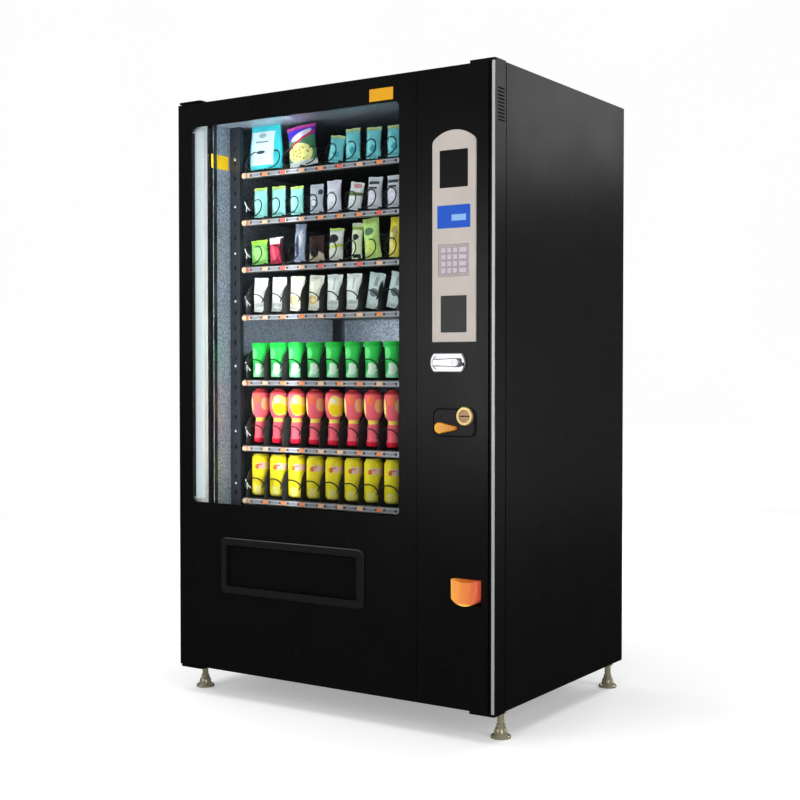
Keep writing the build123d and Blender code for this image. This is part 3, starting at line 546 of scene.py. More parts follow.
class Paints:
    """Every finish of the machine, made once and handed out by name."""

    def __init__(self) -> None:
        """Make the finishes."""
        self._made: dict[str, bpy.types.Material] = {}
        silver_grey = srgb(192, 184, 177)
        finishes: tuple[Union[PowderCoat, Moulded, Metal, Stucco, ClearPane, Tinted, Lit], ...] = (
            PowderCoat("black_coat", (0.0026, 0.0026, 0.0028), 0.22, 0.34),
            PowderCoat("black_inside", (0.005, 0.005, 0.008), 0.35, 0.5),
            PowderCoat("fascia_silver", silver_grey, 0.3, 0.42, 0.06, 0.25),
            PowderCoat("zinc", srgb(236, 224, 192), 0.16, 0.28, 0.03, 0.7),
            PowderCoat("trim_silver", (0.60, 0.60, 0.61), 0.3, 0.38, 0.02, 0.5),
            Metal("rail_silver", (0.60, 0.59, 0.61), 0.3, 0.45, (0.6, 30.0, 30.0), 60),
            PowderCoat("chrome", (0.62, 0.62, 0.64), 0.06, 0.13, 0.01, 0.8),
            PowderCoat("gold", (0.90, 0.64, 0.26), 0.16, 0.26, 0.02, 0.7),
            PowderCoat("copper", (0.60, 0.36, 0.22), 0.3, 0.4, 0.04, 0.6),
            Metal("fins", (0.62, 0.63, 0.65), 0.3, 0.5, (60.0, 1.0, 1.0), 30, 0.6),
            Stucco(),
            ClearPane(),
            Moulded("dark_plastic", (0.030, 0.030, 0.033)),
            # Near-black finish of the tubes that stand for grooves on the coin plate: painted
            # shade.
            Moulded("groove_shade_black", (0.001, 0.001, 0.001), 0.6, 0.8),
            Moulded("hatch_plastic", (0.009, 0.009, 0.010), 0.16, 0.24, 0.02),
            Moulded("divider_plastic", (0.032, 0.032, 0.031), 0.34, 0.5),
            Moulded("flap_black", (0.003, 0.003, 0.0035), 0.14, 0.22, 0.02),
            Moulded("coin_plate_grey", (0.016, 0.015, 0.017), 0.35, 0.5, 0.3),
            PowderCoat("post_grey", (0.016, 0.018, 0.024), 0.3, 0.42),
            Moulded("keypad_plate", srgb(168, 156, 158)),
            Moulded("key_cap", srgb(190, 180, 192), 0.45, 0.6),
            Moulded("motor_case", (0.5, 0.5, 0.47)),
            Moulded("board_green", (0.02, 0.12, 0.05)),
            Moulded("smoked_lens", (0.004, 0.0035, 0.004), 0.25, 0.35, 0.01),
            Moulded("blank_grey", (0.030, 0.032, 0.031), 0.3, 0.42, 0.05),
            Moulded("seal_rubber", (0.015, 0.015, 0.016), 0.6, 0.75),
            Moulded("latch_cream", srgb(186, 160, 132), 0.4, 0.55),
            Moulded("clip_white", (0.46, 0.46, 0.46), 0.4, 0.55),
            Moulded("wire_coat", (0.012, 0.012, 0.013), 0.28, 0.4, 0.05),
            Moulded("label_yellow", srgb(210, 150, 0), 0.4, 0.55, 0.03),
            Moulded("label_inside", srgb(255, 196, 16), 0.35, 0.5, 0.03),
            Moulded("tag_orange", srgb(216, 128, 80), 0.4, 0.55, 0.03),
            Moulded("tag_red", srgb(206, 92, 80), 0.4, 0.55, 0.03),
            Moulded("tag_peach", srgb(214, 166, 134), 0.4, 0.55, 0.03),
            Moulded("tag_grey", srgb(124, 124, 134), 0.4, 0.55, 0.03),
            Moulded("rail_insert", srgb(172, 168, 170), 0.35, 0.5, 0.03),
            # Cup and lever: a shaded and a lit copy of each colour for painted light, and a painted
            # glow on the cup.
            Tinted("cup_orange", srgb(206, 84, 60), srgb(255, 192, 84), 0.22),
            Tinted("lever_yellow", srgb(190, 112, 0), srgb(250, 184, 8), 0.0),
            Lit("lamp_glow", (0.80, 0.88, 0.93), 0.62, 0.5),
            Lit("lamp_body", (0.25, 0.30, 0.34), 0.10),
            Lit("screen_pale", srgb(132, 184, 246), 0.85, 0.08),
        )
        for finish in finishes:
            self._made[finish.name] = finish.make()
        self._made["screen"] = self._screen()

    @staticmethod
    def _screen() -> bpy.types.Material:
        """Blue back-lit screen with one pale block in its middle."""
        recipe = Recipe("screen")
        return recipe.set(
            Base_Color=recipe.mix(recipe.noise(80), srgb(10, 20, 50), srgb(14, 28, 64)),
            Roughness=0.3,
            Emission_Color=recipe.mix(recipe.noise(25, 1), srgb(34, 84, 190), srgb(44, 98, 212)),
            Emission_Strength=0.9,
            Specular_IOR_Level=0.2,
        ).material

    def __getitem__(self, name: str) -> bpy.types.Material:
        """The finish of that name."""
        return self._made[name]

    def wrapper(self, design: Wrapper) -> bpy.types.Material:
        """The material of a printed wrapper, made once for all packs that share it."""
        if design.name not in self._made:
            self._made[design.name] = design.make()
        return self._made[design.name]


# ------------------------------------------------------------------ mesh tools
class Sheet:
    """Vertices and faces that are being gathered for one piece."""

    def __init__(self) -> None:
        """Start with no vertex."""
        self.points: list[Point] = []
        self.faces: list[tuple[int, ...]] = []
        self.marks: list[int] = []

    def face(self, corners: Sequence[int], mark: int = 0) -> None:
        """Add one face and the material slot that it takes."""
        self.faces.append(tuple(corners))
        self.marks.append(mark)

    def weave(self, start: int, wide: int, columns: int, rows: int, flip: bool = False) -> None:
        """Join rows of points with four-sided faces.

        Args:
            start: Number of the first point.
            wide: Points in a row.
            columns: Faces in a row; as many as the points where the rows run round.
            rows: Rows of faces.
            flip: Whether the faces look the other way.
        """
        for j in range(rows):
            for i in range(columns):
                a, b = start + j * wide + i, start + j * wide + (i + 1) % wide
                corners = (a, b, b + wide, a + wide)
                self.face(corners[::-1] if flip else corners)

    def lids(self, start: int, wide: int, rows: int) -> None:
        """Close the first and last of some rows of points that run round."""
        for first in (start, start + rows * wide):
            self.face(range(first, first + wide))

    def ends(self, start: int, wide: int, rows: int) -> None:
        """Close the first and last of some rows, with both faces looking out."""
        self.face(range(start + wide - 1, start - 1, -1))
        self.face(range(start + rows * wide, start + (rows + 1) * wide))

    def grid(
        self,
        columns: int,
        rows: int,
        at: Callable[[float, float], Point],
        wrap: bool = False,
        flip: bool = False,
    ) -> None:
        """Add a patch.

        Args:
            columns: Cells across.
            rows: Cells up.
            at: Place of a point from its two shares.
            wrap: Whether the last column joins the first.
            flip: Whether the faces look the other way.
        """
        start = len(self.points)
        wide = columns if wrap else columns + 1
        for j in range(rows + 1):
            self.points += [at(i / columns, j / rows) for i in range(wide)]
        self.weave(start, wide, columns, rows, flip)

    def lathe(
        self, axis: Point, profile: Sequence[tuple[float, float]], steps: int
    ) -> None:
        """Turn a profile of (radius, height) points round an upright axis through a point."""
        start = len(self.points)
        for radius, height in profile:
            for i in range(steps):
                turn = 2 * math.pi * i / steps
                x, y = axis[0] + radius * math.cos(turn), axis[1] + radius * math.sin(turn)
                self.points.append((x, y, axis[2] + height))
        self.weave(start, steps, steps, len(profile) - 1)
        self.ends(start, steps, len(profile) - 1)

    def tube(self, path: Sequence[Vector], radius: float, sides: int = 6) -> None:
        """Sweep a round section along a path of points, with closed ends."""
        start = len(self.points)
        side = Vector((0, 0, 1))
        for i, point in enumerate(path):
            ahead = path[min(i + 1, len(path) - 1)] - path[max(i - 1, 0)]
            ahead.normalize()
            side = side - ahead * side.dot(ahead)
            if side.length < 1e-6:
                side = ahead.orthogonal()
            side.normalize()
            other = ahead.cross(side)
            for k in range(sides):
                turn = 2 * math.pi * k / sides
                spot = point + (side * math.cos(turn) + other * math.sin(turn)) * radius
                self.points.append(tuple(spot))
        self.weave(start, sides, sides, len(path) - 1)
        self.ends(start, sides, len(path) - 1)

    def slab(self, low: Point, high: Point, edge: float, mark: int = 0) -> None:
        """Add a box with chamfered edges between two corners."""
        bm = bmesh.new()
        bmesh.ops.create_cube(bm, size=1.0)
        middle = (Vector(low) + Vector(high)) / 2
        size = Vector(high) - Vector(low)
        bmesh.ops.transform(
            bm, matrix=Matrix.Translation(middle) @ Matrix.Diagonal((*size, 1.0)), verts=bm.verts
        )
        bmesh.ops.bevel(bm, geom=bm.edges[:], offset=edge, segments=2, affect="EDGES")
        start = len(self.points)
        bm.verts.index_update()
        self.points += [tuple(v.co) for v in bm.verts]
        for face in bm.faces:
            self.face([start + v.index for v in face.verts], mark)
        bm.free()

    def bend(self, move: Callable[[Vector], Vector]) -> "Sheet":
        """Move every point gathered so far."""
        self.points = [tuple(move(Vector(point))) for point in self.points]
        return self

    def piece(
        self,
        name: str,
        body: str,
        slot: str,
        *materials: bpy.types.Material,
        smooth: bool = True,
        at: Point = (0.0, 0.0, 0.0),
        lean: float = 0.0,
    ) -> bpy.types.Object:
        """Turn the gathered faces into a piece that rides on a body.

        Args:
            name: The piece's name.
            body: CAD body that carries it.
            slot: Name of the record's material slot; not used.
            materials: Its materials, in the order of the marks.
            smooth: Whether it is shaded smooth, with sharp edges kept.
            at: Where its own origin goes.
            lean: Turn about the line from front to back, in radians.

        Returns:
            The new object.
        """
        mesh = bpy.data.meshes.new(name)
        mesh.from_pydata(self.points, [], self.faces)
        for material in materials:
            mesh.materials.append(material)
        for polygon, mark in zip(mesh.polygons, self.marks):
            polygon.material_index = mark
        bm = bmesh.new()
        bm.from_mesh(mesh)
        bmesh.ops.remove_doubles(bm, verts=bm.verts, dist=JOINING)
        bmesh.ops.recalc_face_normals(bm, faces=bm.faces)
        bm.to_mesh(mesh)
        bm.free()
        if smooth:
            mesh.shade_smooth()
            mesh.set_sharp_from_angle(angle=math.radians(50))
        obj = bpy.data.objects.new(name, mesh)
        bpy.context.scene.collection.objects.link(obj)
        obj.location = at
        obj.rotation_euler = (0.0, lean, 0.0)
        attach(obj, body)
        return obj


# ------------------------------------------------------------------ the frame's places
class Places:
    """Sizes and places that the looks need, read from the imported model."""

    def __init__(self) -> None:
        """Read the boxes of the nodes that other pieces line up with."""
        self.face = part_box("door_skin")[0].y
        self.door_low, self.door_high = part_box("door_skin")[0].z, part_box("door_skin")[1].z
        self.tray_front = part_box("tray_1")[0].y
        self.tray_left, self.tray_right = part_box("tray_1")[0].x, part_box("tray_1")[1].x
        self.rail_height = 21 * MM
        self.shelves = [
            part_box(f"tray_{n}")[0].z + self.rail_height for n in range(1, TRAYS + 1)
        ]
        self.lanes = [self._middle(f"coil_{n}").x for n in range(1, LANES + 1)]
        self.pitch = (self.lanes[-1] - self.lanes[0]) / (LANES - 1)
        coil_low, coil_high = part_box("coil_1")
        self.wire_radius = 2 * MM
        self.coil_front, self.coil_back = coil_low.y + self.wire_radius, coil_high.y
        self.wire_length = self.coil_back - 6 * MM - self.coil_front
        self.coil_radius = (coil_high.z - coil_low.z) / 2 - self.wire_radius
        self.coil_rise = (coil_high.z + coil_low.z) / 2 - self.shelves[0]

    @staticmethod
    def _middle(node: str) -> Vector:
        """Middle of a node's box."""
        low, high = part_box(node)
        return (low + high) / 2


def dress(
    node: bpy.types.Object,
    first: bpy.types.Material,
    *rest: tuple[Callable[[Vector, Vector], bool], bpy.types.Material],
) -> None:
    """Give a CAD node its finishes.

    Args:
        node: The node's object.
        first: Finish of every face that no rule takes.
        rest: Pairs of a rule on a face's centre and normal, and the finish that it gives.
    """
    mesh = node.data
    mesh.materials.clear()
    mesh.materials.append(first)
    for _, material in rest:
        mesh.materials.append(material)
    for polygon in mesh.polygons:
        polygon.material_index = 0
        for place, (rule, _) in enumerate(rest, start=1):
            if rule(polygon.center, polygon.normal):
                polygon.material_index = place
                break


def soften(node: bpy.types.Object, width: float) -> None:
    """Round the sharp edges of a CAD node by a small width, as folded sheet and mouldings are."""
    weld = node.modifiers.new("joined", "WELD")
    weld.merge_threshold = JOINING
    bevel = node.modifiers.new("rounded", "BEVEL")
    bevel.width = width
    bevel.segments = 2
    bevel.limit_method = "ANGLE"
    bevel.angle_limit = math.radians(40)
    bevel.use_clamp_overlap = True


# ------------------------------------------------------------------ studio
@dataclass
class Studio:
    """Camera, lights, floor and backdrop."""

    place: Point = (2.4370, -3.6965, 1.0746)
    tilt: float = 88.623
    turn: float = 33.444
    lens: float = 59.632
    floor_size: float = 40.0
    floor_colour: Colour = (0.92, 0.92, 0.92)
    sky: float = 0.022
    dome_radius: float = 19.0

    def camera(self) -> None:
        """Set the scene's camera."""
        data = bpy.data.cameras.new("camera")
        data.lens, data.sensor_width = self.lens, 36.0
        camera = bpy.data.objects.new("camera", data)
        camera.location = self.place
        camera.rotation_euler = (math.radians(self.tilt), 0.0, math.radians(self.turn))
        bpy.context.scene.collection.objects.link(camera)
        bpy.context.scene.camera = camera

    def panel(
        self,
        name: str,
        at: Point,
        to: Point,
        size: tuple[float, float],
        power: float,
        mirrored: bool = True,
    ) -> bpy.types.Object:
        """Add an area light.

        Args:
            name: The light's name.
            at: Its middle.
            to: The point that it looks at.
            size: Its width and height.
            power: Its power in watts.
            mirrored: Whether glossy surfaces mirror it.

        Returns:
            The light's object.
        """
        data = bpy.data.lights.new(name, "AREA")
        data.shape, data.size, data.size_y = "RECTANGLE", size[0], size[1]
        data.energy = power
        light = bpy.data.objects.new(name, data)
        light.location = at
        way = Vector(to) - Vector(at)
        light.rotation_euler = way.to_track_quat("-Z", "Y").to_euler()
        light.visible_glossy = mirrored
        bpy.context.scene.collection.objects.link(light)
        return light

    def lights(self) -> None:
        """Soft light from the front, the side, above and behind, and two panels for gloss."""
        middle = (0.0, 0.0, 1.0)
        self.panel("key_panel", (-1.6, -4.6, 2.8), middle, (3.0, 3.0), 84, False)
        self.panel("side_panel", (5.0, -1.2, 2.2), middle, (2.4, 3.0), 70, False)
        self.panel("left_panel", (-5.0, 0.6, 2.2), middle, (2.4, 3.0), 60, False)
        self.panel("top_panel", (0.2, -0.6, 5.2), middle, (5.0, 5.0), 150, False)
        self.panel("back_panel", (0.6, 5.0, 2.8), middle, (3.0, 2.6), 110, False)
        self.panel("side_gloss", (2.45, 3.5, 2.80), (0.6, 0.0, 1.75), (1.3, 1.1), 5.5)
        self.panel("front_gloss", (-1.35, -3.7, 1.25), (0.45, -0.43, 1.15), (0.7, 1.3), 4.6)
        self.panel("back_gloss", (-2.4, 3.9, 2.4), (0.0, 0.45, 1.4), (1.2, 1.4), 5.0)
        self.panel("left_gloss", (-4.2, -1.9, 2.2), (-0.6, 0.0, 1.5), (1.0, 1.2), 4.0)
        self.panel("side_sheen", (3.2, 5.2, 1.2), (0.6, 0.0, 1.0), (2.4, 2.4), 1.5)
        self.panel("rear_gloss", (4.2, 3.2, 0.7), (0.2, 0.45, 1.2), (1.3, 1.3), 7.0)
        self.panel("upper_edges", (-2.4, -0.9, 3.6), (-0.2, -0.45, 0.5), (1.3, 1.3), 14)
        self.panel("side_edges", (3.7, -2.7, 0.7), (0.0, -0.45, 0.6), (0.8, 1.3), 6)
        self.panel("right_rim", (4.6, -4.4, 2.3), (0.5, -0.4, 1.0), (1.4, 2.2), 12)
        self.panel("top_rim", (0.4, -4.6, 4.8), (0.2, -0.4, 1.0), (2.8, 1.2), 14)
        world = bpy.data.worlds.new("surround")
        world.use_nodes = True
        ground = world.node_tree.nodes["Background"]
        ground.inputs["Color"].default_value = (1.0, 1.0, 1.0, 1.0)
        ground.inputs["Strength"].default_value = self.sky
        bpy.context.scene.world = world
        bpy.context.scene.view_settings.view_transform = "Standard"

    @staticmethod
    def surface(
        name: str,
        points: Sequence[Point],
        faces: Sequence[tuple[int, ...]],
        material: bpy.types.Material,
    ) -> bpy.types.Object:
        """Make one of the studio's surfaces from its points and faces."""
        mesh = bpy.data.meshes.new(name)
        mesh.from_pydata(points, [], faces)
        mesh.materials.append(material)
        made = bpy.data.objects.new(name, mesh)
        bpy.context.scene.collection.objects.link(made)
        return made

    def floor(self) -> None:
        """Wide pale floor that glows, its glow dimmed near the machine as a painted shadow."""
        recipe = Recipe("studio_floor")
        pale = tuple(c * 0.98 for c in self.floor_colour)
        x, y, _ = recipe.place()
        # Painted shadow: the floor's glow is dimmest within about 1.4 m of the middle and fades out
        # by about 7 m.
        away = ((x * x + y * y) * 0.02 - 0.04).limited()
        recipe.set(
            Base_Color=recipe.mix(recipe.noise(0.8), pale, self.floor_colour),
            Roughness=0.9,
            Emission_Color=recipe.mix(away, (0.35, 0.35, 0.35), (0.99, 0.99, 0.99)),
            Emission_Strength=1.0,
        )
        half = self.floor_size / 2
        corners = [(-half, -half, 0), (half, -half, 0), (half, half, 0), (-half, half, 0)]
        floor = self.surface("studio_floor", corners, [(0, 1, 2, 3)], recipe.material)
        floor.visible_glossy = False

    def backdrop(self) -> None:
        """White wall all round, which lights and glossy surfaces don't see."""
        recipe = Recipe("studio_wall")
        recipe.set(
            Base_Color=(0.0, 0.0, 0.0),
            Roughness=1.0,
            Emission_Color=recipe.mix(recipe.noise(0.3), (0.98, 0.98, 0.98), (1.0, 1.0, 1.0)),
            Emission_Strength=1.0,
        )
        sheet = Sheet()
        radius, height = self.dome_radius, self.dome_radius * 0.8

        def at(u: float, v: float) -> Point:
            """Point of the wall."""
            turn = 2 * math.pi * u
            reach = radius * math.cos(math.pi / 2 * v * 0.999)
            return (reach * math.cos(turn), reach * math.sin(turn), height * v - 0.02)

        sheet.grid(64, 16, at, wrap=True)
        wall = self.surface("studio_wall", sheet.points, sheet.faces, recipe.material)
        wall.data.shade_smooth()
        wall.visible_glossy = wall.visible_diffuse = wall.visible_shadow = False

    def build(self) -> None:
        """Make the whole studio."""
        self.camera()
        self.lights()
        self.floor()
        self.backdrop()


# ------------------------------------------------------------------ cabinet
@dataclass
class Cabinet:
    """Finishes of the cabinet's own nodes, and what is stuck and screwed on inside."""

    nodes: dict[str, bpy.types.Object]
    paints: Paints
    places: Places
    label_size: tuple[float, float] = (85 * MM, 46 * MM)
    label_rise: float = 1.760
    screw_rise: float = 46 * MM

    def dress(self) -> None:
        """Give every cabinet node its finish."""
        paints = self.paints
        plain = {
            "cabinet_shell": "black_coat",
            "base_pan": "black_inside",
            "feet": "zinc",
            "chamber_liner": "stucco_aluminium",
            "delivery_bin": "black_inside",
            "tray_runners": "post_grey",
            "lower_couplers": "dark_plastic",
            "coil_motors": "motor_case",
            "power_inlet": "dark_plastic",
            "door_gasket": "seal_rubber",
            "hinge_brackets": "black_coat",
        }
        for node, finish in plain.items():
            dress(self.nodes[node], paints[finish])
        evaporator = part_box("cooling_unit")[1].z - 125 * MM
        dress(
            self.nodes["cooling_unit"],
            paints["black_coat"],
            (lambda c, n: c.z > evaporator, paints["fins"]),
            (lambda c, n: c.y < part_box("cooling_unit")[0].y + 85 * MM, paints["fins"]),
        )

    def screws(self) -> None:
        """Pale screw heads down the left front post, between the trays."""
        sheet = Sheet()
        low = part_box("tray_runners")[0]
        x = low.x + 21 * MM
        profile = ((4.2, 0.0), (4.2, 0.8), (3.6, 1.8), (2.0, 2.5), (0.4, 2.7))
        head = [(r * MM, h * MM) for r, h in profile]
        for shelf in self.places.shelves:
            sheet.lathe((0.0, shelf + self.screw_rise, 0.0), head, 14)
        sheet.bend(lambda p: Vector((x + p.x, low.y - p.z, p.y)))
        sheet.piece("post_screws", "cabinet", "tray_steel", self.paints["clip_white"])

    def inner_label(self) -> None:
        """Blank yellow label on the chamber's left wall."""
        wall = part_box("chamber_liner")[0].x + 2 * MM
        y, half = self.places.tray_front - 50 * MM, self.label_size[0] / 2
        sheet = Sheet()
        sheet.slab(
            (wall, y - half, self.label_rise - self.label_size[1] / 2),
            (wall + 0.5 * MM, y + half, self.label_rise + self.label_size[1] / 2),
            0.2 * MM,
        )
        sheet.piece("inside_label", "cabinet", "liner", self.paints["label_inside"])

    def wall_edge(self) -> None:
        """Dark edging down the front of the chamber's left wall."""
        low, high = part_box("chamber_liner")
        x = low.x + 2 * MM
        sheet = Sheet()
        foot = (x, low.y + 1 * MM, low.z + 1 * MM)
        sheet.slab(foot, (x + 2 * MM, low.y + 17 * MM, high.z - 3 * MM), 0.6 * MM)
        sheet.piece("wall_edge", "cabinet", "black_paint", self.paints["black_coat"])

    def build(self) -> None:
        """Dress the cabinet and add its small pieces."""
        self.dress()
        self.wall_edge()
        self.screws()
        self.inner_label()
        for node in ("cabinet_shell", "hinge_brackets"):
            soften(self.nodes[node], 0.8 * MM)


# ------------------------------------------------------------------ door
@dataclass
class Door:
    """Door skins, window, lamp and edge trims."""

    nodes: dict[str, bpy.types.Object]
    paints: Paints
    places: Places
    studio: Studio
    label: tuple[float, float, float, float] = (0.170, 0.255, 1.868, 1.905)
    lamp_power: float = 2.0
    fill_power: float = 1.4
    wash_power: float = 0.45
    wall_power: float = 2.2
    gap_power: float = 0.8

    def dress(self) -> None:
        """Give the door's own nodes their finishes."""
        paints, places = self.paints, self.places
        dress(self.nodes["door_skin"], paints["black_coat"])
        dress(self.nodes["control_skin"], paints["black_coat"])
        dress(self.nodes["window_glass"], paints["window_pane"])
        low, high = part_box("lamp")
        front = low.y + 18 * MM
        ends = (low.z + 21 * MM, high.z - 21 * MM)
        dress(
            self.nodes["lamp"],
            paints["lamp_body"],
            (lambda c, n: c.y < front and ends[0] < c.z < ends[1], paints["lamp_glow"]),
        )
        # Black coat on the trim's right-facing side is painted shade that leaves its front a thin
        # bright line; faces past the door's ends or facing up or down are its black end caps.
        dress(
            self.nodes["edge_trims"],
            paints["trim_silver"],
            (
                lambda c, n: not places.door_low < c.z < places.door_high
                or abs(n.z) > 0.9
                or n.x > 0.8,
                paints["black_coat"],
            ),
        )
        for node in ("door_skin", "control_skin"):
            soften(self.nodes[node], 0.7 * MM)

    def outer_label(self) -> None:
        """Blank yellow label on the door above the window."""
        x0, x1, z0, z1 = self.label
        sheet = Sheet()
        face = self.places.face
        sheet.slab((x0, face - 0.4 * MM, z0), (x1, face + 0.1 * MM, z1), 0.15 * MM)
        sheet.piece("door_label", "door", "black_paint", self.paints["label_yellow"])

    def lamp_light(self) -> None:
        """Light that the lamp throws into the chamber, and what the sheets throw back."""
        low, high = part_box("lamp")
        x, y, z = high.x + 12 * MM, high.y + 2 * MM, (low.z + high.z) / 2
        tall = high.z - low.z
        aim = (x + 0.5, y + 0.42, z)
        places = self.places
        inner_low, inner_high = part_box("chamber_liner")
        front, back, wall = places.tray_front, inner_high.y, inner_low.x
        middle = (places.tray_left + places.tray_right) / 2
        wide = places.tray_right - places.tray_left
        gap = places.shelves[3] - 45 * MM
        above, before = front - 60 * MM, front - 45 * MM
        beams = (
            ("lamp_light", (x, y, z), aim, (0.03, tall), self.lamp_power),
            ("shelf_light", (middle, above, z), (middle, back, z), (wide, tall), self.fill_power),
            (
                "rear_light", (middle, back - 120 * MM, gap), (middle, back, gap),
                (wide, 20 * MM), self.wash_power,
            ),
            (
                "gap_light", (wall + 0.26, (front + back) / 2, gap),
                (wall, (front + back) / 2, gap), (back - front - 80 * MM, 20 * MM),
                self.gap_power,
            ),
            (
                "wall_light", (wall + 0.30, before, z), (wall, before + 10 * MM, z),
                (0.03, tall), self.wall_power,
            ),
        )
        for name, at, to, size, power in beams:
            light = self.studio.panel(name, at, to, size, power, False)
            light.visible_camera = False

    def build(self) -> None:
        """Dress the door and add its label and light."""
        self.dress()
        self.outer_label()
        self.lamp_light()


# ------------------------------------------------------------------ payment column
@dataclass
class PaymentColumn:
    """Fascia, screen, keys, lock, coin plate, lever and cup."""

    nodes: dict[str, bpy.types.Object]
    paints: Paints
    screen_low: float = 1.470
    screen_high: float = 1.550
    plate_foot: float = 0.875
    plate_height: float = 85 * MM
    block: tuple[float, float, float, float] = (0.460, 0.508, 1.497, 1.515)
    groove: tuple[tuple[float, float], ...] = ((0.405, 0.926), (0.432, 0.940), (0.456, 0.949))

    def dress(self) -> None:
        """Give the column's nodes their finishes."""
        paints = self.paints
        plain = {
            "fascia": "fascia_silver",
            "lock_spindle": "dark_plastic",
            "lock_handle": "chrome",
            "coin_mechanism": "motor_case",
            "coin_return_lever": "lever_yellow",
            "coin_cup": "cup_orange",
        }
        plain |= {f"key_{row}_{column}": "key_cap" for row in range(1, 5) for column in range(1, 5)}
        for node, finish in plain.items():
            dress(self.nodes[node], paints[finish])
        dress(
            self.nodes["display"],
            paints["smoked_lens"],
            (lambda c, n: self.screen_low < c.z < self.screen_high, paints["screen"]),
            (lambda c, n: c.z < self.screen_low, paints["blank_grey"]),
        )
        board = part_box("keypad_plate")[1].y - 2 * MM
        dress(
            self.nodes["keypad_plate"],
            paints["keypad_plate"],
            (lambda c, n: c.y > board, paints["board_green"]),
        )
        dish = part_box("lock_housing")[0].y + 8.5 * MM
        dress(
            self.nodes["lock_housing"],
            paints["chrome"],
            (lambda c, n: c.y > dish, paints["dark_plastic"]),
        )
        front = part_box("coin_plate")[0].y
        bezel = front + 6.8 * MM
        dress(
            self.nodes["coin_plate"],
            paints["coin_plate_grey"],
            (lambda c, n: front + 2.4 * MM < c.y < bezel and n.y < -0.9, paints["copper"]),
            (lambda c, n: c.y < bezel, paints["gold"]),
            # Front faces set back behind the bezel get black: painted shade in the plate's
            # recesses.
            (lambda c, n: c.y > bezel + 0.9 * MM and n.y < -0.9, paints["black_inside"]),
        )
        soften(self.nodes["coin_cup"], 0.8 * MM)

    def screen_block(self) -> None:
        """Paler block in the middle of the lit screen."""
        x0, x1, z0, z1 = self.block
        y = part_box("display")[0].y
        sheet = Sheet()
        sheet.slab((x0, y - 0.25 * MM, z0), (x1, y + 0.1 * MM, z1), 0.1 * MM)
        sheet.piece("screen_block", "door", "lens", self.paints["screen_pale"])

    def recess_line(self) -> None:
        """Black tube along a slanting groove line on the coin plate, left of the inlet: painted
        shade of the groove.
        """
        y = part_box("coin_plate")[0].y + 7 * MM
        path = [Vector((x, y, z)) for x, z in self.groove]
        sheet = Sheet()
        sheet.tube(path, 0.6 * MM, 8)
        sheet.piece("coin_plate_line", "door", "coin_grey", self.paints["groove_shade_black"])

    def plate_groove(self) -> None:
        """Black tube round the coin plate, just inside its edge: painted shade of a groove."""
        low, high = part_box("coin_plate")
        y = low.y + 6.9 * MM
        inset, corner = 3 * MM, 19 * MM
        left, right = low.x + inset, high.x - inset
        foot, head = self.plate_foot + inset, self.plate_foot + self.plate_height - inset
        corners = (
            (right - corner, head - corner, 0),
            (left + corner, head - corner, 90),
            (left + corner, foot + corner, 180),
            (right - corner, foot + corner, 270),
        )
        path = []
        for x, z, start in corners:
            for turn in (math.radians(start + step * 15) for step in range(7)):
                path.append(Vector((x + corner * math.cos(turn), y, z + corner * math.sin(turn))))
        sheet = Sheet()
        sheet.tube(path + path[:1], 1.5 * MM, 8)
        sheet.piece("coin_plate_groove", "door", "coin_grey", self.paints["groove_shade_black"])

    def lock_tab(self) -> None:
        """Small dark tab beside the lock's handle."""
        low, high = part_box("lock_housing")
        x, y, z = high.x - 6 * MM, low.y - 0.6 * MM, (low.z + high.z) / 2 - 5 * MM
        sheet = Sheet()
        far = (x + 3.2 * MM, y + 1.4 * MM, z + 5 * MM)
        sheet.slab((x, y - 5 * MM, z - 5 * MM), far, 0.6 * MM)
        sheet.piece("lock_tab", "door", "chrome", self.paints["dark_plastic"])

    def build(self) -> None:
        """Dress the column and add its small pieces."""
        self.dress()
        self.screen_block()
        self.recess_line()
        self.plate_groove()
        self.lock_tab()


# ------------------------------------------------------------------ delivery hatch
@dataclass
class Hatch:
    """Delivery frame and its flap."""

    nodes: dict[str, bpy.types.Object]
    paints: Paints
    edge: float = 2.0 * MM

    def build(self) -> None:
        """Dress the hatch."""
        dress(self.nodes["delivery_frame"], self.paints["hatch_plastic"])
        dress(self.nodes["delivery_flap"], self.paints["flap_black"])
        soften(self.nodes["delivery_frame"], self.edge)


